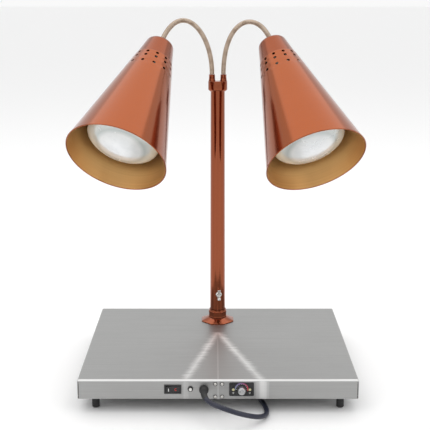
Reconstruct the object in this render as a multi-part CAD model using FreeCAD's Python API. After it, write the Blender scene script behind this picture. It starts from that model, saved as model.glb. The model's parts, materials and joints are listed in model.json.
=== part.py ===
"""Counter-top heat lamp warmer: heated steel base, copper post, two gooseneck lamps.

Millimetres, +Z up, front of the base towards -Y.  The origin is on the table,
under the middle of the object's bounding box (the free cord left out).
"""
import FreeCAD, Part
import math
import os

V = FreeCAD.Vector
UP = V(0, 0, 1)
INWARD = V(0, 1, 0)      # from the front face into the base
SIDES = {"left": -1, "right": 1}
parts = {}

# ---------------------------------------------------------------- base
base_width = 508.0
base_depth = 406.4
wall_height = 36.0
sheet = 1.2
edge_bend = 4.0
corner_bend = 3.0
return_flange = 14.0
plate_inset = 2.5
foot_height = 24.8
foot_dia = 14.0
foot_rib_depth = 0.9
foot_rib_pitch = 4.6
foot_rib_count = 4
foot_inset_x = 30.0
foot_inset_y = 25.0
foot_stud_radius = 2.0
foot_nut_size = 7.0
foot_nut_height = 3.2
plate_screw_radius = 1.95
plate_screw_head_radius = 3.6
plate_screw_head_height = 1.9
plate_screw_length = 8.0
fit_gap = 0.05           # radial gap of a fit
sheet_gap = 0.2          # between stacked sheets

# ---------------------------------------------------------------- heater stack under the top
stack_inset = 18.0
spreader_thickness = 1.5
mat_inset = 30.0
mat_thickness = 2.5
insulation_thickness = 14.0
stack_front_inset = 62.0     # room for the controls behind the front face
stack_post_hole_radius = 24.0

# ---------------------------------------------------------------- controls on the front face
control_mid_drop = 17.4      # below the top of the base
rocker_x = -81.6
rocker_bezel = (31.0, 16.5)
rocker_bezel_reach = 2.0
rocker_case = (27.6, 13.6)
rocker_case_depth = 24.0
rocker_half_length = 12.5
rocker_height = 12.4
rocker_side_gap = 0.3
rocker_tilt = 8.0
rocker_pivot_depth = 1.0     # of the pivot behind the face
rocker_crest = 4.6           # ends of the key, out from its pivot
rocker_dip = 3.4             # middle of the key
rocker_back = 6.0
breaker_x = -49.8
breaker_drop = 16.6
breaker_nut_radius = 4.85
breaker_nut_reach = 2.4
breaker_neck_radius = 4.0
breaker_neck_lip = 0.4       # the neck stands this far out of its nut
breaker_bore_depth = 14.0
breaker_button_clearance = 0.8
breaker_button_radius = 2.7
breaker_button_reach = 4.9
breaker_stroke = 2.5
breaker_case = (14.0, 26.0, 30.0)
gland_x = -25.5
gland_drop = 18.0
gland_radius = 8.5
gland_neck_radius = 6.4
gland_reach = 9.0
gland_skirt = 3.5
gland_taper = 1.8
gland_neck_length = 14.0
gland_nut_size = 17.0
gland_nut_height = 4.0
panel_screw_mid_x = 1.0
panel_screw_mid_drop = 19.6
panel_screw_spacing = (12.4, 24.4)
panel_screw_radius = 1.7
panel_screw_head_radius = 3.7
panel_screw_head_height = 2.2
panel_screw_length = 9.0
bracket_size = (24.0, 29.0)
bracket_thickness = 2.0
terminal_block_size = (42.0, 18.0, 14.0)
terminal_well_radius = 3.0
terminal_well_floor = 5.0
thermostat_x = 42.4
thermostat_plate = (44.6, 25.7)
thermostat_plate_thickness = 1.2
thermostat_corner = 2.0
thermostat_case = (36.0, 22.0, 20.0)
thermostat_neck_radius = 5.0
knob_drop = control_mid_drop
knob_radius = 7.2
knob_length = 11.0
knob_gap = 0.4
knob_flutes = 18
knob_flute_radius = 0.55
knob_shaft_radius = 3.0
knob_shaft_length = 12.0
pilot_spacing = 29.7
pilot_drop = 17.7
pilot_radius = 2.65
pilot_reach = 2.4
pilot_depth = 13.0

# ---------------------------------------------------------------- post
post_setback = 330.2         # from the front edge of the base
post_foot_radius = 15.7
post_head_radius = 14.2
post_bore_radius = 13.0
post_top_height = 494.0      # top of the tube above the base
mast_radius = 11.0
mast_bore_radius = 8.4
mast_below_top = 28.0
mast_headroom = 184.0        # the mast stops this far below the top of the tube
bush_length = 45.0
washer_radius = 20.0
washer_thickness = 2.0
mast_nut_size = 34.0
mast_nut_height = 7.0
flange_flats = 67.0          # across the flats of the eight-sided flange
flange_crown_flats = 40.0    # across the flats where its slopes meet the collar
flange_edge = 1.5
flange_rise = 8.5
collar_radius = 19.8
collar_waist_radius = 18.9
collar_flats = 37.2
collar_top_radius = 17.4
collar_height = 17.0
post_start_gap = 0.4
wing_height = 62.0           # of the wing screw above the base
wing_turn = 7.0              # of the wing screw round the post, from straight ahead
wing_screw_radius = 2.95
wing_hub_radius = 6.2
wing_hub_length = 8.0
wing_span = 23.0
wing_thickness = 6.0
wing_reach = 13.0
wing_tip_gap = 0.3           # between the screw's end and the mast

# ---------------------------------------------------------------- head of the post
yoke_width = 38.5
yoke_depth = 31.0
yoke_height = 17.5
yoke_chamfer = 4.0
yoke_fit = 0.11              # radial gap round the tapered head of the post
yoke_overlap = 10.0          # of the chamfer and block down over the tube
arm_offset = 11.5
ferrule_foot_radius = 6.9
ferrule_top_radius = 5.7
ferrule_height = 13.1
spigot_radius = 4.0

# ---------------------------------------------------------------- arms and lamps
arm_radius = 5.0
arm_bore_radius = 3.2
arm_pivots = 4
pivot_gap = 0.8              # bare end each side of a bending point
arm_rise = {"left": 91.7, "right": 115.0}
arm_lead = {"left": 127.8, "right": 88.0}
cap_point = {"left": V(-112.96, -30.66, 84.81), "right": V(105.93, -27.76, 87.78)}   # from the post's top
lamp_turn = {"left": 20.2, "right": 21.6}
lamp_dip = {"left": 42.5, "right": 45.2}
shade_length = 285.0
shade_mouth_radius = 95.25
shade_top_radius = 38.5
shade_sheet = 1.0
shade_bead_radius = 1.2
cap_top_radius = 27.0
cap_foot_radius = 37.6
cap_height = 49.0
cap_sheet = 1.2
cap_edge = 7.0
shoulder_hole_radius = 29.0
vent_radius = 3.1
vents_per_row = 13
vent_turn = 10.0             # of the first vent of a row, in degrees
vent_rows = (5.0, 16.5, 34.0)     # below the shoulder, along the axis
fitting_length = 4.0
fitting_top_radius = 6.4
fitting_foot_radius = 8.6
nipple_radius = 4.9
nipple_length = 22.0
wire_way_radius = 3.0
lamp_nut_size = 15.0
lamp_nut_height = 4.0
socket_start = 17.0
socket_radius = 19.5
socket_length = 51.0
socket_bore_radius = 13.7
bulb_base_radius = 13.1
bulb_base_start = 44.0
bulb_radius = 69.0
bulb_rim_back = 46.0         # widest point of the bulb, back from the mouth
bulb_face_rise = 24.0
bulb_glass_wall = 1.2
bulb_neck_flare = 8.0
bulb_waist_share = 0.42      # of the bulb's radius, where the bowl starts to open
bulb_rise_shares = (0.2, 0.42, 0.78)
bulb_face_shares = (0.45, 0.6)

# ---------------------------------------------------------------- cord
cord_radius = 4.5
coil_centre = V(30.0, 280.0, 0)
coil_mean_radius = 50.0
coil_stub = 36.0
plug_size = (38.0, 26.0, 20.0)
plug_neck_length = 12.0
blade_size = (17.0, 1.5, 6.3)
blade_spacing = 12.7
blade_rise = 2.0
earth_pin_drop = 5.0
plug_neck_wall = 1.8
plug_edge = 3.0
earth_pin_radius = 2.4
earth_pin_length = 20.0

# ---------------------------------------------------------------- worked-out levels
front_reach = thermostat_plate_thickness + knob_gap + knob_length
mid_y = front_reach / 2
face_y = mid_y - base_depth / 2
rear_y = mid_y + base_depth / 2
side_x = base_width / 2
pan_z = foot_height + sheet
top_z = pan_z + wall_height
under_top = top_z - sheet
post_y = face_y + post_setback
control_z = top_z - control_mid_drop
bottom_z = foot_height


# ---------------------------------------------------------------- helpers
def block(x0, x1, y0, y1, z0, z1):
    return Part.makeBox(x1 - x0, y1 - y0, z1 - z0, V(x0, y0, z0))


def centred_block(x, z, size, y0, y1):
    """Block on the front face: size is (width, height) about x and z."""
    return block(x - size[0] / 2, x + size[0] / 2, y0, y1, z - size[1] / 2, z + size[1] / 2)


def rod(start, direction, radius, length):
    return Part.makeCylinder(radius, length, start, direction)


def upright(x, y, z0, z1, radius):
    return rod(V(x, y, z0), UP, radius, z1 - z0)


def inward(x, z, y0, y1, radius):
    """Round bar along Y on the front face, from y0 in to y1."""
    return rod(V(x, y0, z), INWARD, radius, y1 - y0)


def cut_all(shape, tools):
    for tool in tools:
        shape = shape.cut(tool)
    return shape


def fuse_all(shapes):
    result = shapes[0]
    for other in shapes[1:]:
        result = result.fuse(other)
    return result.removeSplitter()


def spun(profile):
    """Solid of revolution about Z from a closed list of (radius, height)."""
    points = [V(r, 0, z) for r, z in profile]
    wire = Part.makePolygon(points + [points[0]])
    return Part.Face(wire).revolve(V(0, 0, 0), UP, 360)


def hexagon(centre, direction, across_flats, height):
    radius = across_flats / math.sqrt(3)
    corners = []
    for k in range(6):
        angle = math.radians(60 * k)
        corners.append(V(radius * math.cos(angle), radius * math.sin(angle), 0))
    prism = Part.Face(Part.makePolygon(corners + [corners[0]])).extrude(V(0, 0, height))
    prism.Placement = FreeCAD.Placement(centre, FreeCAD.Rotation(UP, direction))
    return prism


def octagon(across_flats, z):
    """Closed eight-sided wire about Z, one flat facing the front."""
    radius = across_flats / 2 / math.cos(math.pi / 8)
    corners = []
    for k in range(8):
        angle = math.pi / 8 + k * math.pi / 4
        corners.append(V(radius * math.cos(angle), radius * math.sin(angle), z))
    return Part.makePolygon(corners + [corners[0]])


def fillet_edges(shape, radius, chosen):
    edges = [e for e in shape.Edges if chosen(e)]
    return shape.makeFillet(radius, edges)


def is_upright(edge):
    span = edge.BoundBox
    return span.ZLength > 1 and span.XLength < 0.01 and span.YLength < 0.01


def moved(shape, x, y, z):
    copy = shape.copy()
    copy.translate(V(x, y, z))
    return copy


def group(shapes):
    return Part.makeCompound(shapes)


def keep(name, shape):
    parts[name] = shape


# ---------------------------------------------------------------- base
def rounded_box(inset, z0, z1, corner, edge):
    box = block(-side_x + inset, side_x - inset, face_y + inset, rear_y - inset, z0, z1)
    box = fillet_edges(box, corner, is_upright)

    def on_top(e):
        return e.BoundBox.ZMin > z1 - 0.01

    return fillet_edges(box, edge, on_top) if edge else box


def plate_screw_places():
    inset = plate_inset + return_flange / 2
    x = side_x - inset
    y = base_depth / 2 - inset
    places = []
    for sx in (-1, 1):
        for sy in (-1, 1):
            places.append((sx * x, mid_y + sy * y))
        places.append((sx * x, mid_y))
    for sy in (-1, 1):
        places.append((0, mid_y + sy * y))
    return places


def foot_places():
    x = side_x - foot_inset_x
    y = base_depth / 2 - foot_inset_y
    return [(sx * x, mid_y + sy * y) for sx in (-1, 1) for sy in (-1, 1)]


def panel_screw_places():
    places = []
    for sx in (-0.5, 0.5):
        for sz in (-0.5, 0.5):
            x = panel_screw_mid_x + sx * panel_screw_spacing[0]
            places.append((x, top_z - panel_screw_mid_drop + sz * panel_screw_spacing[1]))
    return places


def pilot_places():
    return [(thermostat_x + s * pilot_spacing / 2, top_z - pilot_drop) for s in (-1, 1)]


def make_casing():
    pan = rounded_box(0, pan_z, top_z, corner_bend, edge_bend)
    pan = pan.cut(rounded_box(sheet, pan_z + sheet, under_top, corner_bend - sheet, edge_bend - sheet))
    pan = pan.cut(rounded_box(return_flange, pan_z - 1, pan_z + 2 * sheet, corner_bend, 0))
    pan = pan.cut(upright(0, post_y, under_top - 1, top_z + 1, mast_radius + fit_gap))
    y0 = face_y - 1
    y1 = face_y + sheet + 1
    holes = [
        centred_block(rocker_x, control_z, [s + 2 * fit_gap for s in rocker_case], y0, y1),
        inward(breaker_x, top_z - breaker_drop, y0, y1, breaker_neck_radius + fit_gap),
        inward(gland_x, top_z - gland_drop, y0, y1, gland_neck_radius + fit_gap),
        inward(thermostat_x, top_z - knob_drop, y0, y1, thermostat_neck_radius + fit_gap),
    ]
    holes += [inward(x, z, y0, y1, panel_screw_radius + fit_gap) for x, z in panel_screw_places()]
    holes += [inward(x, z, y0, y1, pilot_radius + fit_gap) for x, z in pilot_places()]
    for x, y in plate_screw_places():
        holes.append(upright(x, y, pan_z - 1, pan_z + sheet + 1, plate_screw_radius + fit_gap))
    keep("top_pan", cut_all(pan, holes))

    plate = rounded_box(plate_inset, bottom_z, pan_z, corner_bend, 0)
    holes = []
    for x, y in plate_screw_places():
        holes.append(upright(x, y, bottom_z - 1, pan_z + 1, plate_screw_radius + fit_gap))
    for x, y in foot_places():
        holes.append(upright(x, y, bottom_z - 1, pan_z + 1, foot_stud_radius + fit_gap))
    keep("bottom_plate", cut_all(plate, holes))

    screws = []
    for x, y in plate_screw_places():
        head = upright(x, y, bottom_z - plate_screw_head_height, bottom_z, plate_screw_head_radius)
        shank = upright(x, y, bottom_z, bottom_z + plate_screw_length, plate_screw_radius)
        screws.append(head.fuse(shank))
    keep("bottom_plate_screws", group(screws))


def make_feet():
    radius = foot_dia / 2
    edge = 1.5
    stud_bottom = 5.0
    profile = [(0, 0), (radius - edge, 0), (radius, edge)]
    z = edge
    for _ in range(foot_rib_count):
        profile.append((radius, z + foot_rib_pitch * 0.65))
        profile.append((radius - foot_rib_depth, z + foot_rib_pitch * 0.75))
        profile.append((radius - foot_rib_depth, z + foot_rib_pitch * 0.9))
        profile.append((radius, z + foot_rib_pitch))
        z += foot_rib_pitch
    profile += [(radius, foot_height), (foot_stud_radius + fit_gap, foot_height)]
    profile += [(foot_stud_radius + fit_gap, stud_bottom), (0, stud_bottom)]
    foot = spun(profile)
    stud_top = pan_z + foot_nut_height + 1.5
    stud = upright(0, 0, stud_bottom, stud_top, foot_stud_radius)
    nut = hexagon(V(0, 0, pan_z), UP, foot_nut_size, foot_nut_height)
    nut = nut.cut(upright(0, 0, 0, stud_top + 1, foot_stud_radius + fit_gap))
    keep("rubber_feet", group([moved(foot, x, y, 0) for x, y in foot_places()]))
    keep("foot_studs", group([moved(stud, x, y, 0) for x, y in foot_places()]))
    keep("foot_nuts", group([moved(nut, x, y, 0) for x, y in foot_places()]))


def stack_sheet(inset, front_inset, z0, z1):
    layer = block(-side_x + inset, side_x - inset, face_y + front_inset, rear_y - inset, z0, z1)
    layer = fillet_edges(layer, 12.0, is_upright)
    return layer.cut(upright(0, post_y, z0 - 1, z1 + 1, stack_post_hole_radius))


def make_heater_stack():
    z = under_top - sheet_gap
    keep("heat_spreader", stack_sheet(stack_inset, stack_inset, z - spreader_thickness, z))
    z -= spreader_thickness + sheet_gap
    keep("heater_mat", stack_sheet(mat_inset, stack_front_inset, z - mat_thickness, z))
    z -= mat_thickness + sheet_gap
    keep("insulation_blanket", stack_sheet(stack_inset, stack_front_inset, z - insulation_thickness, z))


# ---------------------------------------------------------------- controls
def make_rocker_switch():
    bezel = centred_block(rocker_x, control_z, rocker_bezel, face_y - rocker_bezel_reach, face_y)
    case = centred_block(rocker_x, control_z, rocker_case, face_y, face_y + rocker_case_depth)
    well = (2 * (rocker_half_length + rocker_side_gap), rocker_height + 2 * rocker_side_gap)
    pivot_y = face_y + rocker_pivot_depth
    well_depth = rocker_half_length + 1.2
    cavity = centred_block(rocker_x, control_z, well, face_y - 3, pivot_y + well_depth)
    keep("rocker_switch_case", fuse_all([bezel, case]).cut(cavity))
    outline = [
        V(-rocker_half_length, -rocker_crest, 0), V(0, -rocker_dip, 0),
        V(rocker_half_length, -rocker_crest, 0), V(rocker_half_length, rocker_back, 0),
        V(-rocker_half_length, rocker_back, 0),
    ]
    key = Part.Face(Part.makePolygon(outline + [outline[0]])).extrude(V(0, 0, rocker_height))
    key = key.common(rod(V(0, 0, 0), UP, rocker_half_length, rocker_height))
    key.rotate(V(0, 0, 0), UP, rocker_tilt)
    key.translate(V(rocker_x, pivot_y, control_z - rocker_height / 2))
    keep("rocker_key", key)


def make_breaker():
    z = top_z - breaker_drop
    width, height, depth = breaker_case
    bore_end = face_y + breaker_bore_depth
    nut_y = face_y - breaker_nut_reach
    case = centred_block(breaker_x, z, (width, height), face_y + sheet, face_y + sheet + depth)
    neck = inward(breaker_x, z, nut_y - breaker_neck_lip, face_y + sheet + 1, breaker_neck_radius)
    bore = inward(breaker_x, z, face_y - 10, bore_end, breaker_button_radius + fit_gap)
    keep("breaker_case", fuse_all([case, neck]).cut(bore))
    nut = inward(breaker_x, z, nut_y, face_y, breaker_nut_radius)
    hole = inward(breaker_x, z, nut_y - 1, face_y + 1, breaker_neck_radius + fit_gap)
    keep("breaker_nut", nut.cut(hole))
    button_end = bore_end - breaker_stroke - breaker_button_clearance
    button = inward(breaker_x, z, face_y - breaker_button_reach, button_end, breaker_button_radius)
    keep("breaker_button", button)


def make_gland():
    z = top_z - gland_drop
    taper = Part.makeCone(gland_radius - gland_taper, gland_radius, gland_reach - gland_skirt,
                          V(gland_x, face_y - gland_reach, z), INWARD)
    skirt = inward(gland_x, z, face_y - gland_skirt, face_y, gland_radius)
    neck = inward(gland_x, z, face_y, face_y + gland_neck_length, gland_neck_radius)
    keep("cord_gland", fuse_all([taper, skirt, neck]))
    nut = hexagon(V(gland_x, face_y + sheet, z), INWARD, gland_nut_size, gland_nut_height)
    nut = nut.cut(inward(gland_x, z, face_y, face_y + 12, gland_neck_radius + fit_gap))
    keep("gland_nut", nut)


def make_panel_bracket():
    z = top_z - panel_screw_mid_drop
    y0 = face_y + sheet
    bracket = centred_block(panel_screw_mid_x, z, bracket_size, y0, y0 + bracket_thickness)
    shelf_z = pan_z + 2 * sheet
    holes = []
    screws = []
    for x, sz in panel_screw_places():
        holes.append(inward(x, sz, y0 - 1, y0 + 4, panel_screw_radius + fit_gap))
        head = inward(x, sz, face_y - panel_screw_head_height, face_y, panel_screw_head_radius)
        head = fillet_edges(head, 1.2, lambda e: e.BoundBox.YMax < face_y - 1)
        shank = inward(x, sz, face_y, face_y + panel_screw_length, panel_screw_radius)
        screws.append(head.fuse(shank))
    keep("panel_bracket", cut_all(bracket, holes))
    keep("panel_screws", group(screws))
    length, depth, height = terminal_block_size
    y = face_y + stack_front_inset - depth
    terminals = block(-length / 2, length / 2, y - depth, y, shelf_z, shelf_z + height)
    wells = []
    for k in (-1, 0, 1):
        x = k * length / 3.4
        floor_z = shelf_z + terminal_well_floor
        wells.append(upright(x, y - depth / 2, floor_z, shelf_z + height + 1, terminal_well_radius))
    foot = block(-length / 2, length / 2, y - depth, y, pan_z, shelf_z)
    keep("terminal_block", cut_all(fuse_all([terminals, foot]), wells))


def make_thermostat():
    shaft_z = top_z - knob_drop
    width, height, depth = thermostat_case
    plate_y = face_y - thermostat_plate_thickness
    plate = centred_block(thermostat_x, control_z, thermostat_plate, plate_y, face_y)
    plate = fillet_edges(plate, thermostat_corner, lambda e: e.BoundBox.YLength > 1)
    neck_hole = thermostat_neck_radius + fit_gap
    plate = plate.cut(inward(thermostat_x, shaft_z, plate_y - 1, face_y + 1, neck_hole))
    for x, z in pilot_places():
        plate = plate.cut(inward(x, z, plate_y - 1, face_y + 1, pilot_radius + fit_gap))
    keep("thermostat_plate", plate)
    bore_end = face_y + knob_shaft_length + 1
    case_y = face_y + sheet
    case = centred_block(thermostat_x, shaft_z, (width, height), case_y, case_y + depth)
    slots = []
    for x, z in pilot_places():
        slots.append(inward(x, z, case_y - 1, face_y + pilot_depth + 1, pilot_radius + 0.5))
    neck = inward(thermostat_x, shaft_z, plate_y, case_y + 1, thermostat_neck_radius)
    bore = inward(thermostat_x, shaft_z, plate_y - 1, bore_end, knob_shaft_radius + fit_gap)
    keep("thermostat_body", cut_all(fuse_all([case, neck]), slots + [bore]))
    back_y = plate_y - knob_gap
    knob = Part.makeCone(knob_radius * 0.9, knob_radius, knob_length,
                         V(thermostat_x, back_y - knob_length, shaft_z), INWARD)
    knob = fillet_edges(knob, 0.9, lambda e: e.BoundBox.YMax < back_y - knob_length + 0.01)
    for k in range(knob_flutes):
        angle = 2 * math.pi * (k + 0.5) / knob_flutes
        x = thermostat_x + (knob_radius + 0.1) * math.cos(angle)
        z = shaft_z + (knob_radius + 0.1) * math.sin(angle)
        knob = knob.cut(inward(x, z, back_y - knob_length + 2, back_y + 1, knob_flute_radius))
    pointer = centred_block(thermostat_x - knob_radius * 0.55, shaft_z, (knob_radius * 0.7, 1.0),
                            back_y - knob_length - 1, back_y - knob_length + 0.6)
    shaft = inward(thermostat_x, shaft_z, back_y - 1, face_y + knob_shaft_length, knob_shaft_radius)
    keep("thermostat_knob", fuse_all([knob.cut(pointer), shaft]))
    lamps = []
    for x, z in pilot_places():
        lens = inward(x, z, face_y - pilot_reach, face_y + pilot_depth, pilot_radius)
        lamps.append(fillet_edges(lens, 1.4, lambda e: e.BoundBox.YMax < face_y - 1))
    keep("pilot_lights", group(lamps))


# ---------------------------------------------------------------- post
def make_post():
    z0 = top_z - mast_below_top
    mast_top = top_z + post_top_height - mast_headroom
    mast = upright(0, post_y, z0, mast_top, mast_radius)
    keep("inner_mast", mast.cut(upright(0, post_y, z0 - 1, mast_top + 1, mast_bore_radius)))
    washer = upright(0, post_y, under_top - washer_thickness, under_top, washer_radius)
    nut_z = under_top - washer_thickness - mast_nut_height
    nut = hexagon(V(0, post_y, nut_z), UP, mast_nut_size, mast_nut_height)
    bore = upright(0, post_y, z0, under_top + 1, mast_radius + fit_gap)
    keep("mast_nut", fuse_all([nut, washer]).cut(bore))

    bore_radius = mast_radius + fit_gap
    rings = [octagon(flange_flats, flange_edge), octagon(flange_crown_flats, flange_rise)]
    slopes = Part.makeLoft(rings, True, True)
    edge = Part.Face(octagon(flange_flats, 0)).extrude(V(0, 0, flange_edge))
    flange = fuse_all([edge, slopes]).cut(upright(0, 0, -1, flange_rise + 1, bore_radius))
    keep("post_flange", moved(flange, 0, post_y, top_z))

    h = collar_height
    collar = spun([
        (bore_radius, 0), (collar_radius, 0), (collar_radius, h * 0.14), (collar_waist_radius, h * 0.2),
        (collar_waist_radius, h * 0.62), (collar_radius, h * 0.68), (collar_radius, h * 0.8),
        (collar_top_radius, h * 0.86), (collar_top_radius, h), (bore_radius, h),
    ])
    collar = collar.common(Part.Face(octagon(collar_flats, 0)).extrude(V(0, 0, h)))
    keep("post_collar", moved(collar, 0, post_y, top_z + flange_rise))

    tube_z = top_z + flange_rise + collar_height + post_start_gap
    tube_length = top_z + post_top_height - tube_z
    tube = Part.makeCone(post_foot_radius, post_head_radius, tube_length, V(0, post_y, tube_z), UP)
    tube = tube.cut(upright(0, post_y, tube_z - 1, tube_z + tube_length + 1, post_bore_radius))
    axis = wing_axis()
    tube = tube.cut(rod(V(0, post_y, top_z + wing_height), axis, wing_screw_radius + fit_gap, 40))
    keep("post_tube", tube)

    bush_z = mast_top - bush_length
    bush = upright(0, post_y, bush_z, mast_top, post_bore_radius - fit_gap)
    keep("guide_bush", bush.cut(upright(0, post_y, bush_z - 1, mast_top + 1, mast_radius + fit_gap)))


def wing_axis():
    angle = math.radians(wing_turn)
    return V(math.sin(angle), -math.cos(angle), 0)


def make_wing_screw():
    """Made with its shank along +Z from the post's axis, then laid on its own axis."""
    tip = mast_radius + wing_tip_gap
    hub_start = post_foot_radius + 0.5
    shank = rod(V(0, 0, tip), UP, wing_screw_radius, hub_start - tip + 1)
    hub = Part.makeCone(wing_hub_radius, wing_hub_radius * 0.8, wing_hub_length, V(0, 0, hub_start), UP)
    pieces = [shank, hub]
    half = wing_span / 2
    for side in (-1, 1):
        outline = [
            V(side * 2.0, 0, hub_start + 1.0), V(side * half * 0.62, 0, hub_start + 1.6),
            V(side * half, 0, hub_start + wing_reach * 0.62),
            V(side * half * 0.92, 0, hub_start + wing_reach),
            V(side * half * 0.55, 0, hub_start + wing_reach * 0.86),
            V(side * 2.0, 0, hub_start + wing_hub_length),
        ]
        wing = Part.Face(Part.makePolygon(outline + [outline[0]])).extrude(V(0, wing_thickness, 0))
        pieces.append(moved(wing, 0, -wing_thickness / 2, 0))
    screw = fuse_all(pieces)
    upright_wings = FreeCAD.Rotation(V(0, 0, -1), V(0, 1, 0), wing_axis(), "ZYX")
    screw.Placement = FreeCAD.Placement(V(0, post_y, top_z + wing_height), upright_wings)
    keep("wing_screw", screw)


def stadium(width, depth, z0, z1):
    radius = depth * 0.46
    prism = block(-width / 2, width / 2, -depth / 2, depth / 2, z0, z1)
    return moved(fillet_edges(prism, radius, is_upright), 0, post_y, 0)


def make_yoke():
    z0 = top_z + post_top_height - yoke_overlap
    z1 = z0 + yoke_chamfer
    z2 = z1 + yoke_height
    tube_top = top_z + post_top_height
    skirt = Part.makeCone(post_head_radius + 1.6, yoke_depth / 2, yoke_chamfer, V(0, post_y, z0), UP)
    yoke = fuse_all([stadium(yoke_width, yoke_depth, z1, z2), skirt])
    socket = upright(0, post_y, z0 - 1, tube_top, post_head_radius + yoke_fit)
    wire_way = upright(0, post_y, z0, z2 - 4, mast_bore_radius)
    tools = [socket, wire_way]
    ferrules = []
    for side in SIDES.values():
        x = side * arm_offset
        tools.append(upright(x, post_y, z2 - 6, z2 + 1, spigot_radius + fit_gap))
        cone = Part.makeCone(ferrule_foot_radius, ferrule_top_radius, ferrule_height, V(x, post_y, z2), UP)
        bore = upright(x, post_y, z2 - 1, z2 + ferrule_height + 1, spigot_radius + fit_gap)
        ferrules.append(cone.cut(bore))
    keep("arm_yoke", cut_all(yoke, tools))
    keep("arm_ferrules", group(ferrules))
    return z2 + ferrule_height


# ---------------------------------------------------------------- arms
def lamp_direction(side):
    turn = math.radians(lamp_turn[side])
    dip = math.radians(lamp_dip[side])
    level = math.cos(dip)
    return V(SIDES[side] * math.sin(turn) * level, -math.cos(turn) * level, -math.sin(dip))


def lamp_top(side):
    """Centre of the flat top of the lamp's neck cap."""
    point = cap_point[side]
    return V(point.x, post_y + point.y, top_z + post_top_height + point.z)


def arm_curve(side, ferrule_top):
    start = V(SIDES[side] * arm_offset, post_y, ferrule_top + pivot_gap)
    end = lamp_top(side) - lamp_direction(side) * fitting_length
    poles = [start, start + UP * arm_rise[side], end - lamp_direction(side) * arm_lead[side], end]
    curve = Part.BezierCurve()
    curve.setPoles(poles)
    return curve


def hose(curve, first, last):
    """Length of hollow gooseneck, one arc between two parameters of its centre line."""
    bend = Part.Arc(curve.value(first), curve.value((first + last) / 2), curve.value(last))
    path = Part.Wire([bend.toShape()])
    normal = bend.tangent(bend.FirstParameter)[0]
    start = curve.value(first)
    rings = [Part.Wire([Part.makeCircle(r, start, normal)]) for r in (arm_radius, arm_bore_radius)]
    outside, bore = [path.makePipeShell([ring], True, False) for ring in rings]
    return outside.cut(bore)


def make_arm(side, ferrule_top):
    """Returns the bending points of the arm, first to last."""
    curve = arm_curve(side, ferrule_top)
    whole = curve.toShape()
    length = whole.Length
    spots = [length * (k + 0.62) / (arm_pivots + 0.9) for k in range(arm_pivots)]
    start = 0.0
    for k in range(arm_pivots + 1):
        end = spots[k] - pivot_gap if k < arm_pivots else length
        first = whole.getParameterByLength(start)
        last = whole.getParameterByLength(end)
        link = hose(curve, first, last)
        if k == 0:
            x = SIDES[side] * arm_offset
            spigot_z = ferrule_top - ferrule_height - 5
            spigot = upright(x, post_y, spigot_z, ferrule_top + pivot_gap, spigot_radius)
            bore = upright(x, post_y, spigot_z - 1, ferrule_top + pivot_gap + 1, arm_bore_radius)
            link = group([link, spigot.cut(bore)])
        keep(f"{side}_gooseneck_{k + 1}", link)
        start = end + 2 * pivot_gap
    return [curve.value(whole.getParameterByLength(s)) for s in spots]


# ---------------------------------------------------------------- lamps, made along +Z from the cap's top
def shade_radius(along):
    """Outer radius of the shade's cone, at a distance from the cap's top."""
    share = (along - cap_height) / (shade_length - cap_height)
    return shade_top_radius + share * (shade_mouth_radius - shade_top_radius)


def make_shade():
    wall = shade_sheet
    outer_top = shade_radius(cap_height)
    mouth = shade_length
    shade = spun([
        (shoulder_hole_radius, cap_height - wall), (outer_top - wall / 2, cap_height - wall),
        (outer_top, cap_height), (shade_mouth_radius, mouth), (shade_mouth_radius - wall, mouth),
        (outer_top - wall, cap_height), (shoulder_hole_radius, cap_height),
    ])
    bead_place = V(0, 0, mouth - shade_bead_radius)
    bead = Part.makeTorus(shade_mouth_radius - wall / 2, shade_bead_radius, bead_place, UP)
    shade = shade.fuse(bead)
    drills = []
    for row, below in enumerate(vent_rows):
        along = cap_height + below
        for k in range(vents_per_row):
            angle = 2 * math.pi * k / vents_per_row + math.radians(vent_turn)
            out = V(math.cos(angle), math.sin(angle), 0)
            start = out * (shade_radius(along) - 8) + UP * along
            drills.append(rod(start, out, vent_radius, 16))
    return shade.cut(drills)


def make_cap():
    low = cap_height - shade_sheet
    outside = Part.makeCone(cap_top_radius, cap_foot_radius, low, V(0, 0, 0), UP)
    outside = fillet_edges(outside, cap_edge, lambda e: e.BoundBox.ZMax < 0.01)
    inner_top = cap_top_radius - cap_sheet
    inner_foot = cap_foot_radius - cap_sheet
    inside = Part.makeCone(inner_top, inner_foot, low, V(0, 0, cap_sheet), UP)
    inside = fillet_edges(inside, cap_edge - cap_sheet, lambda e: e.BoundBox.ZMax < cap_sheet + 0.01)
    hole = rod(V(0, 0, -1), UP, nipple_radius + fit_gap, 4)
    return cut_all(outside, [inside, hole])


def make_fitting():
    start = V(0, 0, -fitting_length)
    cone = Part.makeCone(fitting_top_radius, fitting_foot_radius, fitting_length, start, UP)
    nipple = rod(V(0, 0, 0), UP, nipple_radius, nipple_length)
    wire_way = rod(start - UP, UP, wire_way_radius, fitting_length + nipple_length + 2)
    return fuse_all([cone, nipple]).cut(wire_way)


def make_lamp_nut():
    nut = hexagon(V(0, 0, cap_sheet), UP, lamp_nut_size, lamp_nut_height)
    return nut.cut(rod(V(0, 0, 0), UP, nipple_radius + fit_gap, 20))


def make_socket():
    start = socket_start
    end = start + socket_length
    floor = bulb_base_start - 2
    nipple_hole = nipple_radius + fit_gap
    return spun([
        (nipple_hole, start), (socket_radius - 5, start), (socket_radius, start + 6), (socket_radius, end),
        (socket_bore_radius, end), (socket_bore_radius, floor), (nipple_hole, floor),
    ])


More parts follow.
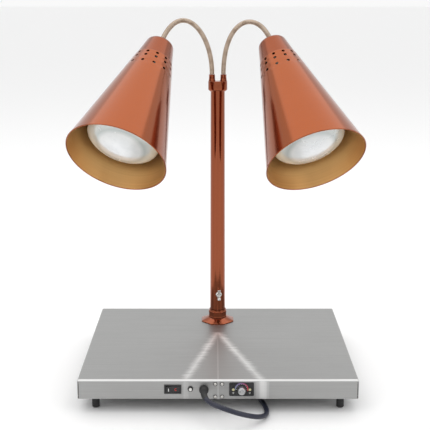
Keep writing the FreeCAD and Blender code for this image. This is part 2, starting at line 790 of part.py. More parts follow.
def make_bulb():
    """Screw base and hollow reflector glass."""
    neck = socket_start + socket_length + 1
    widest = shade_length - bulb_rim_back
    base = rod(V(0, 0, bulb_base_start), UP, bulb_base_radius, neck - bulb_base_start)

    def filled_bulb(inset, foot_z):
        """Solid bulb, smaller all over by inset, that starts at foot_z."""
        foot = V(bulb_base_radius - inset, 0, foot_z)
        rim = V(bulb_radius - inset, 0, widest)
        rise = widest - neck
        top = bulb_face_rise - inset
        crown = V(0, 0, widest + top)
        flank = Part.BezierCurve()
        flank.setPoles([
            foot, V(bulb_base_radius + bulb_neck_flare - inset, 0, neck + rise * bulb_rise_shares[0]),
            V(bulb_radius * bulb_waist_share - inset, 0, neck + rise * bulb_rise_shares[1]),
            V(bulb_radius - inset, 0, neck + rise * bulb_rise_shares[2]), rim,
        ])
        face = Part.BezierCurve()
        face.setPoles([
            rim, V(bulb_radius - inset, 0, widest + top * bulb_face_shares[0]),
            V(bulb_radius * bulb_face_shares[1], 0, widest + top), crown,
        ])
        edges = [
            Part.LineSegment(V(0, 0, foot_z), foot).toShape(), flank.toShape(), face.toShape(),
            Part.LineSegment(crown, V(0, 0, foot_z)).toShape(),
        ]
        return Part.Face(Part.Wire(edges)).revolve(V(0, 0, 0), UP, 360)

    return base, filled_bulb(0, neck).cut(filled_bulb(bulb_glass_wall, neck - 1))


def make_lamps():
    bulb_base, bulb_glass = make_bulb()
    pieces = {
        "shade": make_shade(), "neck_cap": make_cap(), "arm_fitting": make_fitting(),
        "lamp_nut": make_lamp_nut(), "lamp_socket": make_socket(),
        "bulb_base": bulb_base, "bulb_glass": bulb_glass,
    }
    for side in SIDES:
        aim = FreeCAD.Placement(lamp_top(side), FreeCAD.Rotation(UP, lamp_direction(side)))
        for name, shape in pieces.items():
            copy = shape.copy()
            copy.Placement = aim.multiply(copy.Placement)
            keep(f"{side}_{name}", copy)
        last = f"{side}_gooseneck_{arm_pivots + 1}"
        keep(last, parts[last].cut(parts[f"{side}_arm_fitting"]))


# ---------------------------------------------------------------- cord
def gland_mouth():
    return V(gland_x, face_y - gland_reach, top_z - gland_drop)


def lead_route():
    """From the gland, round to the floor, back under the base and into the coil."""
    floor = cord_radius
    mouth = gland_mouth()
    return [
        mouth, mouth + V(0, -19.1, -0.5), mouth + V(9.6, -41.1, -3.7), V(6.8, -261, 37), V(31, -264.5, 29.5),
        V(54.5, -258, 20.5), V(74.5, -243, 11.5), V(86.5, -221, 5.6), V(88.6, -197, floor),
        V(84, -168, floor), V(74, -132, floor), V(66, -86, floor), V(65, -40, floor), V(71, 8, floor),
        V(80, 56, floor), V(86, 104, floor), V(87, 150, floor), V(84.8, 188, floor), V(84, 218, floor),
        V(coil_centre.x + coil_mean_radius + cord_radius, coil_centre.y - coil_stub, floor),
    ]


def tail_route():
    """From the coil's upper turn down to the floor and round to the plug."""
    upper = 3 * cord_radius
    return [
        V(coil_centre.x - coil_mean_radius - cord_radius, coil_centre.y - coil_stub, upper),
        V(-25.4, 218, 12.5), V(-39.7, 195.1, 10), V(-64.4, 182, 7.2), V(-93.4, 183, 6),
        V(-119.4, 198, 7), V(-137.7, 224.2, 10),
    ]


def rounded_path(points, name):
    """Straight runs joined by arcs that are tangent to them."""
    edges = []
    start = points[0]
    radii = []
    for before, corner, after in zip(points, points[1:], points[2:]):
        run_in = corner - before
        run_out = after - corner
        a = V(run_in).normalize()
        b = V(run_out).normalize()
        turn = a.getAngle(b)
        setback = 0.45 * min(run_in.Length, run_out.Length)
        radius = setback / math.tan(turn / 2)
        radii.append(radius)
        first = corner - a * setback
        last = corner + b * setback
        inward_dir = (b - a).normalize()
        middle = corner + inward_dir * (radius / math.cos(turn / 2) - radius)
        edges.append(Part.LineSegment(start, first).toShape())
        edges.append(Part.Arc(first, middle, last).toShape())
        start = last
    edges.append(Part.LineSegment(start, points[-1]).toShape())
    print(name, "bend radii", [round(r) for r in radii])
    return Part.Wire(edges)


def cord_tube(points, name):
    path = rounded_path(points, name)
    ring = Part.Wire([Part.makeCircle(cord_radius, points[0], points[1] - points[0])])
    solid = path.makePipeShell([ring], True, False)
    print(name, "length", round(path.Length, 1), "volume share",
          round(solid.Volume / (math.pi * cord_radius ** 2 * path.Length), 4))
    return solid


def make_cord():
    lead = lead_route()
    tail = tail_route()
    keep("power_cord", group([cord_tube(lead, "lead"), cord_tube(tail, "tail")]))
    outer = coil_mean_radius + 2 * cord_radius
    inner = coil_mean_radius - 2 * cord_radius
    ring = upright(coil_centre.x, coil_centre.y, 0, 4 * cord_radius, outer)
    ring = ring.cut(upright(coil_centre.x, coil_centre.y, -1, 4 * cord_radius + 1, inner))
    stubs = [rod(point, INWARD, cord_radius, coil_stub) for point in (lead[-1], tail[0])]
    keep("cord_coil", fuse_all([ring] + stubs))
    make_plug(tail[-1], tail[-1] - tail[-2])


def make_plug(end, heading):
    """Moulded plug along +X from the cord's end, then turned to the cord's heading."""
    length, width, thickness = plug_size
    neck = rod(V(0, 0, 0), V(1, 0, 0), cord_radius + plug_neck_wall, plug_neck_length)
    half_width = width / 2
    half_thick = thickness / 2
    front = plug_neck_length + length
    body = block(plug_neck_length, front, -half_width, half_width, -half_thick, half_thick)
    body = body.makeFillet(plug_edge, body.Edges)
    blades = []
    for s in (-0.5, 0.5):
        y = s * blade_spacing
        blades.append(block(front, front + blade_size[0], y - blade_size[1] / 2, y + blade_size[1] / 2,
                            blade_rise - blade_size[2] / 2, blade_rise + blade_size[2] / 2))
    earth = rod(V(front, 0, -earth_pin_drop), V(1, 0, 0), earth_pin_radius, earth_pin_length)
    turn = FreeCAD.Rotation(V(1, 0, 0), V(heading.x, heading.y, heading.z))
    level = FreeCAD.Rotation(V(1, 0, 0), V(heading.x, heading.y, 0))
    neck.Placement = FreeCAD.Placement(end, turn)
    place = FreeCAD.Placement(end, level)
    keep("power_plug", fuse_all([neck, placed(body, place)]))
    keep("plug_blades", group([placed(b, place) for b in blades + [earth]]))


def placed(shape, placement):
    copy = shape.copy()
    copy.Placement = placement.multiply(copy.Placement)
    return copy


# ---------------------------------------------------------------- build
def build():
    make_casing()
    make_feet()
    make_heater_stack()
    make_rocker_switch()
    make_breaker()
    make_gland()
    make_panel_bracket()
    make_thermostat()
    make_post()
    make_wing_screw()
    ferrule_top = make_yoke()
    for side in SIDES:
        points = make_arm(side, ferrule_top)
        for k, point in enumerate(points):
            print(f"pivot {side} {k + 1} {point.x:.3f} {point.y:.3f} {point.z:.3f}")
    make_lamps()
    make_cord()
    print(f"levels mid_y {mid_y:.3f} face_y {face_y:.3f} post_y {post_y:.3f} top_z {top_z:.3f}"
          f" control_z {control_z:.3f} ferrule_top {ferrule_top:.3f}")
    os.makedirs("parts", exist_ok=True)
    for name, shape in parts.items():
        shape.exportStep(f"parts/{name}.step")
    print(len(parts), "nodes")


build()
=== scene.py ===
"""Heat lamp warmer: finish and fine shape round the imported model. Metres throughout."""
import json
import math
import random

import bmesh
import bpy
from mathutils import Matrix, Vector

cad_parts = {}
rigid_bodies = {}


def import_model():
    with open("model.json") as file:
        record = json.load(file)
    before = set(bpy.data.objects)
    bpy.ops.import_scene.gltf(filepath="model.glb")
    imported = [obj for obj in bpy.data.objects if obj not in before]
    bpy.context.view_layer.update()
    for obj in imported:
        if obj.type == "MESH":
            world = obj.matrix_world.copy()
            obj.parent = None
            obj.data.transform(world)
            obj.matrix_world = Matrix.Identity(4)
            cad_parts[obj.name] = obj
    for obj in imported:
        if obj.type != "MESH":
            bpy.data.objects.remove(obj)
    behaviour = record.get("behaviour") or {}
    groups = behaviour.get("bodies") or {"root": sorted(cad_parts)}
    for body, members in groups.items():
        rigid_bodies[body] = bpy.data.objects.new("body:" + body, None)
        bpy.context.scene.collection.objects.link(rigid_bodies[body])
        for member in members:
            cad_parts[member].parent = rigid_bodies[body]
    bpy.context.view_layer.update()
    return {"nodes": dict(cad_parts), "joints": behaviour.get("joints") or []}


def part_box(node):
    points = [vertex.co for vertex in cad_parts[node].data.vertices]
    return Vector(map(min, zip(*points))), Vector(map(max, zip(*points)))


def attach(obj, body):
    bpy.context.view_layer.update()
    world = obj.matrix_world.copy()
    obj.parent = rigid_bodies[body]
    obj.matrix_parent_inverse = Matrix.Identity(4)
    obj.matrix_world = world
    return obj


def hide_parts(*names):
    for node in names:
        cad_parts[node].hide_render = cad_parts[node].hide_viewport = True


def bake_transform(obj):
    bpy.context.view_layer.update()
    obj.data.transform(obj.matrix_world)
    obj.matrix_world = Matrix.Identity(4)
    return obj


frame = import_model()
random.seed(7)

MM = 0.001
UP = Vector((0, 0, 1))
SIDES = {"left": -1, "right": 1}


# ------------------------------------------------------------------ places in the frame
def centre(node):
    low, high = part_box(node)
    return (Vector(low) + Vector(high)) / 2


pan_low, pan_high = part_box("top_pan")
top_z = pan_high[2]
face_y = pan_low[1]
mid_y = (pan_low[1] + pan_high[1]) / 2
post_low, post_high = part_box("post_tube")
post_y = (post_low[1] + post_high[1]) / 2
ferrule_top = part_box("arm_ferrules")[1][2]
knob_centre = centre("thermostat_knob")
plate_low, plate_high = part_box("thermostat_plate")
gland_low, gland_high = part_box("cord_gland")
gland_mouth = Vector(((gland_low[0] + gland_high[0]) / 2, gland_low[1], (gland_low[2] + gland_high[2]) / 2))

# ------------------------------------------------------------------ sizes shared by several pieces
CORD_RADIUS = 4.5 * MM
ARM_RADIUS = 5.0 * MM
ARM_GAP = 0.8 * MM
ARM_RISE = {"left": 91.7 * MM, "right": 115.0 * MM}
ARM_LEAD = {"left": 127.8 * MM, "right": 88.0 * MM}
FITTING_LENGTH = 4.0 * MM
SHADE_LENGTH = 285.0 * MM
MOUTH_RADIUS = 95.25 * MM
SHADE_TOP_RADIUS = 38.5 * MM
SHADE_WALL = 1.0 * MM
CAP_TOP_RADIUS = 27.0 * MM
CAP_FOOT_RADIUS = 37.6 * MM
CAP_HEIGHT = 49.0 * MM
CAP_EDGE = 7.0 * MM
CAP_SHEET = 1.2 * MM
LAMP_NUT_HEIGHT = 4.0 * MM
VENTS_PER_ROW = 13
VENT_TURN = math.radians(10)
VENT_RADIUS = 3.1 * MM
VENT_ROWS = [5.0 * MM, 16.5 * MM, 34.0 * MM]


# ------------------------------------------------------------------ camera
def make_camera():
    lens = bpy.data.cameras.new("camera")
    lens.sensor_width = 36.0
    lens.lens = 80.9
    lens.clip_end = 50
    camera = bpy.data.objects.new("camera", lens)
    camera.location = (-0.0055, mid_y - 1.829, top_z + 0.680)
    camera.rotation_euler = (math.radians(90 - 13.0), 0, 0)
    bpy.context.scene.collection.objects.link(camera)
    bpy.context.scene.camera = camera


# ------------------------------------------------------------------ mesh helpers
def link(name, mesh):
    piece = bpy.data.objects.new(name, mesh)
    bpy.context.scene.collection.objects.link(piece)
    return piece


def mesh_piece(name, points, faces, uvs=None, sharp=40):
    mesh = bpy.data.meshes.new(name)
    mesh.from_pydata([tuple(p) for p in points], [], faces)
    if uvs:
        layer = mesh.uv_layers.new(name="surface")
        for loop in mesh.loops:
            layer.data[loop.index].uv = uvs[loop.vertex_index]
    mesh.validate()
    mesh.shade_smooth()
    mesh.set_sharp_from_angle(angle=math.radians(sharp))
    return link(name, mesh)


def baked(piece, sharp=40):
    """The piece with its modifiers applied."""
    graph = bpy.context.evaluated_depsgraph_get()
    mesh = bpy.data.meshes.new_from_object(piece.evaluated_get(graph))
    piece.modifiers.clear()
    piece.data = mesh
    mesh.shade_smooth()
    mesh.set_sharp_from_angle(angle=math.radians(sharp))
    return piece


def bevelled(piece, width, steps=3, angle=35):
    bevel = piece.modifiers.new("bevel", "BEVEL")
    bevel.width = width
    bevel.segments = steps
    bevel.limit_method = "ANGLE"
    bevel.angle_limit = math.radians(angle)
    return baked(piece)


def dress(piece, body, finish, slot, *nodes):
    """Gives a piece its material, its body and the CAD nodes that it stands for."""
    if finish:
        # clearing a list also forgets which face wears which material
        if len(piece.data.materials):
            piece.data.materials.clear()
        for one in finish if isinstance(finish, list) else [finish]:
            piece.data.materials.append(one)
    if body:
        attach(piece, body)
    if nodes:
        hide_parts(*nodes)
    return piece


def softened(corners, radius, steps=4):
    """Open outline with its inner corners rounded: each corner becomes a short curve."""
    outline = [Vector(corners[0])]
    for before, corner, after in zip(corners, corners[1:], corners[2:]):
        before, corner, after = Vector(before), Vector(corner), Vector(after)
        into = before - corner
        out = after - corner
        reach = min(radius, into.length * 0.45, out.length * 0.45)
        a = corner + into.normalized() * reach
        b = corner + out.normalized() * reach
        for k in range(steps + 1):
            t = k / steps
            outline.append(a.lerp(corner, t).lerp(corner.lerp(b, t), t))
    outline.append(Vector(corners[-1]))
    return outline


def spun(name, outline, place=None, segments=96, sharp=40):
    """Turned piece: outline is (radius, height) pairs, spun about the place's Z."""
    place = place or Matrix.Identity(4)
    points, uvs, faces, rings = [], [], [], []
    run = 0.0
    for k, (radius, height) in enumerate(outline):
        if k:
            run += math.hypot(radius - outline[k - 1][0], height - outline[k - 1][1])
        ring = []
        count = 1 if radius < 1e-7 else segments
        for s in range(count):
            angle = 2 * math.pi * s / segments
            ring.append(len(points))
            points.append(place @ Vector((radius * math.cos(angle), radius * math.sin(angle), height)))
            uvs.append((s / segments, run))
        rings.append(ring)
    for low, high in zip(rings, rings[1:]):
        for s in range(segments):
            n = (s + 1) % segments
            if len(low) == 1 and len(high) == 1:
                continue
            if len(low) == 1:
                faces.append((low[0], high[n], high[s]))
            elif len(high) == 1:
                faces.append((low[s], low[n], high[0]))
            else:
                faces.append((low[s], low[n], high[n], high[s]))
    return mesh_piece(name, points, faces, uvs, sharp)


def joined(name, pieces):
    """One object from several, materials kept."""
    bpy.ops.object.select_all(action="DESELECT")
    for piece in pieces:
        piece.select_set(True)
    bpy.context.view_layer.objects.active = pieces[0]
    bpy.ops.object.join()
    pieces[0].name = name
    return pieces[0]


def prism(name, outline, low, high, place=None, sharp=40):
    """Closed prism from a flat outline in X and Y between two heights."""
    place = place or Matrix.Identity(4)
    n = len(outline)
    points = [place @ Vector((x, y, z)) for z in (low, high) for x, y in outline]
    faces = [tuple(reversed(range(n))), tuple(range(n, 2 * n))]
    faces += [(k, (k + 1) % n, n + (k + 1) % n, n + k) for k in range(n)]
    return mesh_piece(name, points, faces, sharp=sharp)


def rounded_rectangle(width, height, radius, steps=6):
    outline = []
    for cx, cy, start in ((1, 1, 0), (-1, 1, 90), (-1, -1, 180), (1, -1, 270)):
        for k in range(steps + 1):
            angle = math.radians(start + 90 * k / steps)
            x = cx * (width / 2 - radius) + radius * math.cos(angle)
            y = cy * (height / 2 - radius) + radius * math.sin(angle)
            outline.append((x, y))
    return outline


def frame_along(direction, origin, side=UP):
    """Matrix whose Z runs along direction; its X is level where it can be."""
    z = direction.normalized()
    x = side.cross(z)
    if x.length < 1e-6:
        x = Vector((1, 0, 0))
    x.normalize()
    y = z.cross(x)
    matrix = Matrix((x, y, z)).transposed().to_4x4()
    matrix.translation = origin
    return matrix


def on_face(x, z, proud=0.0):
    """Matrix on the front face, its Z pointing out of it and its Y up."""
    matrix = Matrix(((1, 0, 0, x), (0, 0, -1, face_y - proud), (0, 1, 0, z), (0, 0, 0, 1)))
    return matrix


def tube_mesh(name, path, radii, segments=24, sharp=50):
    """Closed tube along a list of points, with one radius for each point."""
    points, faces, uvs = [], [], []
    tangent = (path[1] - path[0]).normalized()
    across = tangent.orthogonal().normalized()
    run = 0.0
    for k, point in enumerate(path):
        ahead = path[min(k + 1, len(path) - 1)] - path[max(k - 1, 0)]
        turn = tangent.rotation_difference(ahead.normalized())
        tangent = ahead.normalized()
        across = (turn @ across).normalized()
        up = tangent.cross(across)
        if k:
            run += (point - path[k - 1]).length
        for s in range(segments):
            angle = 2 * math.pi * s / segments
            points.append(point + radii[k] * (math.cos(angle) * across + math.sin(angle) * up))
            uvs.append((s / segments, run))
    rings = len(path)
    for k in range(rings - 1):
        for s in range(segments):
            n = (s + 1) % segments
            a, b = k * segments, (k + 1) * segments
            faces.append((a + s, a + n, b + n, b + s))
    faces.append(tuple(reversed(range(segments))))
    faces.append(tuple(range((rings - 1) * segments, rings * segments)))
    return mesh_piece(name, points, faces, uvs, sharp)


# ------------------------------------------------------------------ shared effects
def group_of(name, inputs, outputs):
    tree = bpy.data.node_groups.new(name, "ShaderNodeTree")
    for label, kind, value in inputs:
        socket = tree.interface.new_socket(name=label, in_out="INPUT", socket_type="NodeSocket" + kind)
        if kind == "Float":
            socket.default_value = value
    for label, kind in outputs:
        tree.interface.new_socket(name=label, in_out="OUTPUT", socket_type="NodeSocket" + kind)
    return tree, tree.nodes.new("NodeGroupInput"), tree.nodes.new("NodeGroupOutput")


def node(tree, kind, settings=None, **sockets):
    """Adds a shader node; sockets are values or the output sockets of other nodes."""
    made = tree.nodes.new("ShaderNode" + kind)
    for key, value in (settings or {}).items():
        setattr(made, key, value)
    for key, value in sockets.items():
        numbered = key[0] == "i" and key[1:].isdigit()
        socket = made.inputs[int(key[1:])] if numbered else made.inputs[key.replace("_", " ")]
        if isinstance(value, bpy.types.NodeSocket):
            tree.links.new(value, socket)
        else:
            socket.default_value = value
    return made


def make_grain_group():
    """Fine brushed or drawn lines: noise squeezed across the lines and stretched along them."""
    tree, given, result = group_of(
        "drawn grain",
        [("Place", "Vector", None), ("Stretch", "Vector", None), ("Detail", "Float", 1.0),
         ("Depth", "Float", 0.1)],
        [("Mask", "Float"), ("Normal", "Vector")],
    )
    squeezed = node(tree, "VectorMath", {"operation": "MULTIPLY"}, i0=given.outputs[0], i1=given.outputs[1])
    scaled = node(tree, "VectorMath", {"operation": "SCALE"}, i0=squeezed.outputs[0], Scale=given.outputs[2])
    noise = node(tree, "TexNoise", Vector=scaled.outputs[0], Scale=1.0, Detail=7.0, Roughness=0.62)
    even = node(tree, "MapRange", Value=noise.outputs[0], From_Min=0.28, From_Max=0.72)
    bump = node(tree, "Bump", Height=even.outputs[0], Strength=given.outputs[3], Distance=0.0004)
    tree.links.new(even.outputs[0], result.inputs[0])
    tree.links.new(bump.outputs[0], result.inputs[1])
    return tree


def make_handling_group():
    """Soft smudges and a few finer marks, as on a handled surface: 0 clean, 1 marked."""
    tree, given, result = group_of(
        "handling marks",
        [("Place", "Vector", None), ("Size", "Float", 14.0), ("Amount", "Float", 0.5)],
        [("Mask", "Float")],
    )
    broad = node(tree, "TexNoise", Vector=given.outputs[0], Scale=given.outputs[1], Detail=4.0, Roughness=0.6)
    shaped = node(tree, "MapRange", Value=broad.outputs[0], From_Min=0.38, From_Max=0.72)
    fine_size = node(tree, "Math", {"operation": "MULTIPLY"}, i0=given.outputs[1], i1=9.0)
    fine = node(tree, "TexNoise", Vector=given.outputs[0], Scale=fine_size.outputs[0], Detail=3.0,
                Roughness=0.7)
    specks = node(tree, "MapRange", Value=fine.outputs[0], From_Min=0.5, From_Max=0.8)
    total = node(tree, "Math", {"operation": "MULTIPLY_ADD"}, i0=specks.outputs[0], i1=0.35,
                 i2=shaped.outputs[0])
    mask = node(tree, "Math", {"operation": "MULTIPLY", "use_clamp": True}, i0=total.outputs[0],
                i1=given.outputs[2])
    tree.links.new(mask.outputs[0], result.inputs[0])
    return tree


def make_moulding_group():
    """The fine spark-eroded skin of moulded plastic and rubber."""
    tree, given, result = group_of(
        "moulded skin",
        [("Place", "Vector", None), ("Size", "Float", 900.0), ("Depth", "Float", 0.3)],
        [("Mask", "Float"), ("Normal", "Vector")],
    )
    pits = node(tree, "TexNoise", Vector=given.outputs[0], Scale=given.outputs[1], Detail=4.0, Roughness=0.7)
    bump = node(tree, "Bump", Height=pits.outputs[0], Strength=given.outputs[2], Distance=0.0003)
    tree.links.new(pits.outputs[0], result.inputs[0])
    tree.links.new(bump.outputs[0], result.inputs[1])
    return tree


def make_tint_group():
    """Mixes a base colour towards a second one by a mask."""
    tree, given, result = group_of(
        "tinted by mask",
        [("Base", "Color", None), ("Other", "Color", None), ("Mask", "Float", 0.0), ("Amount", "Float", 0.3)],
        [("Colour", "Color")],
    )
    amount = node(tree, "Math", {"operation": "MULTIPLY", "use_clamp": True}, i0=given.outputs[2],
                  i1=given.outputs[3])
    mix = tree.nodes.new("ShaderNodeMix")
    mix.data_type = "RGBA"
    tree.links.new(amount.outputs[0], mix.inputs["Factor"])
    tree.links.new(given.outputs[0], mix.inputs["A"])
    tree.links.new(given.outputs[1], mix.inputs["B"])
    tree.links.new(mix.outputs["Result"], result.inputs[0])
    return tree


grain_group = make_grain_group()
handling_group = make_handling_group()
moulding_group = make_moulding_group()
tint_group = make_tint_group()


# ------------------------------------------------------------------ materials
def place_group(tree, group, **sockets):
    made = tree.nodes.new("ShaderNodeGroup")
    made.node_tree = group
    for key, value in sockets.items():
        socket = made.inputs[key]
        if isinstance(value, bpy.types.NodeSocket):
            tree.links.new(value, socket)
        elif socket.type == "RGBA":
            socket.default_value = (*value, 1.0)
        else:
            socket.default_value = value
    return made


def new_material(name, **sockets):
    """Material with plain numbers on the Principled shader's own sockets."""
    made = bpy.data.materials.new(name)
    made.use_nodes = True
    shader = made.node_tree.nodes["Principled BSDF"]
    for key, value in sockets.items():
        shader.inputs[key.replace("_", " ")].default_value = value
    return made, made.node_tree, shader


def surface_place(tree, wrapped):
    """Where a texture sits: on the turned surface itself, or in the object's space."""
    coords = tree.nodes.new("ShaderNodeTexCoord")
    return coords.outputs["UV" if wrapped else "Object"]


def rough_by(tree, shader, mask, low, high):
    spread = node(tree, "MapRange", Value=mask, To_Min=low, To_Max=high)
    tree.links.new(spread.outputs[0], shader.inputs["Roughness"])


def metal(name, base, other, stretch, rough, depth=0.1, tint=0.3, marks=0.4, wrapped=False, metallic=1.0,
          **sockets):
    """Brushed, drawn or spun metal with handling marks."""
    made, tree, shader = new_material(name, Metallic=metallic, **sockets)
    place = surface_place(tree, wrapped)
    solid = surface_place(tree, False)
    grain = place_group(tree, grain_group, Place=place, Stretch=stretch, Detail=1.0, Depth=depth)
    smudge = place_group(tree, handling_group, Place=solid, Size=9.0, Amount=marks)
    lines = place_group(tree, tint_group, Base=base, Other=other, Mask=grain.outputs["Mask"], Amount=tint)
    dulled = [c * 0.82 for c in base]
    skin = place_group(tree, tint_group, Base=base, Other=dulled, Mask=smudge.outputs["Mask"], Amount=0.5)
    tree.links.new(lines.outputs[0], skin.inputs["Base"])
    tree.links.new(skin.outputs[0], shader.inputs["Base Color"])
    both = node(tree, "Math", {"operation": "MULTIPLY_ADD"}, i0=grain.outputs["Mask"], i1=0.5,
                i2=smudge.outputs["Mask"])
    rough_by(tree, shader, both.outputs[0], rough[0], rough[1])
    tree.links.new(grain.outputs["Normal"], shader.inputs["Normal"])
    return made


def moulded(name, base, other, rough, size=900.0, depth=0.3, marks=0.5, **sockets):
    """Moulded plastic, rubber, porcelain or felt."""
    made, tree, shader = new_material(name, **sockets)
    place = surface_place(tree, False)
    skin = place_group(tree, moulding_group, Place=place, Size=size, Depth=depth)
    smudge = place_group(tree, handling_group, Place=place, Size=30.0, Amount=marks)
    colour = place_group(tree, tint_group, Base=base, Other=other, Mask=smudge.outputs[0], Amount=0.8)
    tree.links.new(colour.outputs[0], shader.inputs["Base Color"])
    rough_by(tree, shader, smudge.outputs[0], rough[0], rough[1])
    tree.links.new(skin.outputs["Normal"], shader.inputs["Normal"])
    return made


COPPER = (0.33, 0.082, 0.024)
COPPER_DEEP = (0.24, 0.054, 0.014)
CAP_COPPER = (0.26, 0.062, 0.020)
CAP_DEEP = (0.19, 0.040, 0.012)
POST_COPPER = (0.31, 0.078, 0.030)
POST_DEEP = (0.12, 0.024, 0.009)

# The top's stainless; its colour also carries painted reflection streaks and a painted bend highlight, added
# below.
steel_with_painted_streaks = metal("brushed stainless", (0.40, 0.40, 0.395), (0.30, 0.30, 0.297), (6, 900, 900),
                      (0.38, 0.52), depth=0.10, tint=0.5, marks=0.3, Anisotropic=0.3)


# Sizes of the painted reflection streaks, the painted reflection line and the painted bend highlight on the
# top.
STREAKS_AHEAD = 0.062       # from the post's front to where they start
STREAK_SLOPE_LEFT, STREAK_SLOPE_RIGHT = 0.235, 0.31
STREAK_REACH = 0.27
STREAK_EDGE = (0.014, 0.002)
REFLECTION_LINE_EDGE = (0.0011, 0.0005)
BEND_HIGHLIGHT_FRONT = (0.0052, 0.0036)
BEND_HIGHLIGHT_DEPTH = (0.0034, 0.0014)


def paint_top_highlights(made):
    """Painted reflection streaks that fan from the post's foot to the front edge of the top, a thin painted
    reflection line down the middle and a painted highlight along the front bend.
    """
    tree = made.node_tree
    shader = tree.nodes["Principled BSDF"]
    split = node(tree, "SeparateXYZ", Vector=surface_place(tree, False))
    start = post_low[1] - STREAKS_AHEAD
    forward = node(tree, "Math", {"operation": "SUBTRACT"}, i0=start, i1=split.outputs[1])
    slope = node(tree, "MapRange", Value=split.outputs[0], From_Min=-0.002, From_Max=0.002,
                 To_Min=STREAK_SLOPE_LEFT, To_Max=STREAK_SLOPE_RIGHT)
    spread = node(tree, "Math", {"operation": "MULTIPLY"}, i0=forward.outputs[0], i1=slope.outputs[0])
    aside = node(tree, "Math", {"operation": "ABSOLUTE"}, i0=split.outputs[0])
    off = node(tree, "Math", {"operation": "SUBTRACT"}, i0=aside.outputs[0], i1=spread.outputs[0])
    off = node(tree, "Math", {"operation": "ABSOLUTE"}, i0=off.outputs[0])
    lines = node(tree, "VectorMath", {"operation": "MULTIPLY"}, i0=surface_place(tree, False),
                 i1=(22, 420, 0))
    noise = node(tree, "TexNoise", Vector=lines.outputs[0], Scale=1.0, Detail=5.0, Roughness=0.7)
    ragged = node(tree, "MapRange", Value=noise.outputs[0], From_Min=0.3, From_Max=0.7, To_Min=-0.012,
                  To_Max=0.006)
    off = node(tree, "Math", {"operation": "SUBTRACT"}, i0=off.outputs[0], i1=ragged.outputs[0])
    streak = node(tree, "MapRange", Value=off.outputs[0], From_Min=STREAK_EDGE[0], From_Max=STREAK_EDGE[1])
    inside = node(tree, "MapRange", Value=forward.outputs[0], From_Min=-0.002, From_Max=0.006)
    mask = node(tree, "Math", {"operation": "MULTIPLY"}, i0=streak.outputs[0], i1=inside.outputs[0])
    fade = node(tree, "MapRange", Value=forward.outputs[0], From_Min=0.0, From_Max=STREAK_REACH, To_Min=1.0,
                To_Max=0.6)
    mask = node(tree, "Math", {"operation": "MULTIPLY"}, i0=mask.outputs[0], i1=fade.outputs[0])
    # thin painted reflection line straight ahead of the post
    line = node(tree, "MapRange", Value=aside.outputs[0], From_Min=REFLECTION_LINE_EDGE[0], From_Max=REFLECTION_LINE_EDGE[1],
                To_Max=0.3)
    line = node(tree, "Math", {"operation": "MULTIPLY"}, i0=line.outputs[0], i1=inside.outputs[0])
    mask = node(tree, "Math", {"operation": "MAXIMUM"}, i0=mask.outputs[0], i1=line.outputs[0])
    # painted highlight along the rounded front bend of the top
    bend = node(tree, "MapRange", Value=split.outputs[1], From_Min=face_y + BEND_HIGHLIGHT_FRONT[0],
                From_Max=face_y + BEND_HIGHLIGHT_FRONT[1], To_Max=0.75)
    level = node(tree, "MapRange", Value=split.outputs[2], From_Min=top_z - BEND_HIGHLIGHT_DEPTH[0],
                 From_Max=top_z - BEND_HIGHLIGHT_DEPTH[1])
    bend = node(tree, "Math", {"operation": "MULTIPLY"}, i0=bend.outputs[0], i1=level.outputs[0])
    mask = node(tree, "Math", {"operation": "MAXIMUM"}, i0=mask.outputs[0], i1=bend.outputs[0])
    before = shader.inputs["Base Color"].links[0].from_socket
    # the painted reflections and the painted highlight are mixed into the steel's colour as near white
    lit = place_group(tree, tint_group, Other=(0.95, 0.95, 0.94), Mask=mask.outputs[0], Amount=0.85)
    tree.links.new(before, lit.inputs["Base"])
    tree.links.new(lit.outputs[0], shader.inputs["Base Color"])


brushed_face = metal("brushed stainless face", (0.25, 0.25, 0.248), (0.185, 0.185, 0.183), (6, 900, 900),
                     (0.3, 0.46), depth=0.10, tint=0.4, marks=0.25)
# the top's steel gets its painted reflection streaks and painted bend highlight
paint_top_highlights(steel_with_painted_streaks)
polished_copper = metal("polished copper", POST_COPPER, POST_DEEP, (300, 300, 1.2), (0.10, 0.2),
                        depth=0.03, tint=0.4, marks=0.3, Coat_Weight=0.3, Coat_Roughness=0.08)
spun_copper = metal("spun copper", COPPER, COPPER_DEEP, (1.5, 1400, 1), (0.13, 0.28),
                    depth=0.035, tint=0.25, marks=0.3, wrapped=True, Coat_Weight=0.35, Coat_Roughness=0.1)
copper_cap = metal("turned copper cap", CAP_COPPER, CAP_DEEP, (1.5, 1400, 1), (0.16, 0.3),
                   depth=0.035, tint=0.3, marks=0.3, wrapped=True, Coat_Weight=0.3, Coat_Roughness=0.12)
brass_inside = metal("shade lining", (0.76, 0.46, 0.185), (0.54, 0.29, 0.10), (2, 900, 1), (0.30, 0.46),
                     depth=0.08, tint=0.55, marks=0.35, wrapped=True, metallic=0.7)
wound_wire = metal("wound gooseneck wire", (0.50, 0.41, 0.33), (0.26, 0.17, 0.11), (3, 1500, 1), (0.22, 0.4),
                   depth=0.1, tint=0.45, marks=0.5, wrapped=True)
bright_plate = metal("nickel plate", (0.72, 0.71, 0.68), (0.5, 0.49, 0.46), (300, 300, 300), (0.14, 0.34),
                     depth=0.05, tint=0.3, marks=0.5)
zinc_plate = metal("zinc plate", (0.55, 0.56, 0.57), (0.36, 0.36, 0.36), (200, 200, 200), (0.3, 0.5),
                   depth=0.08, tint=0.4, marks=0.6)
satin_aluminium = metal("satin turned aluminium", (0.70, 0.70, 0.70), (0.46, 0.46, 0.47), (900, 900, 40),
                        (0.22, 0.38), depth=0.1, tint=0.35, marks=0.3)
plain_brass = metal("plain brass", (0.72, 0.53, 0.24), (0.46, 0.31, 0.12), (150, 150, 150), (0.25, 0.45),
                    depth=0.06, tint=0.4, marks=0.6)
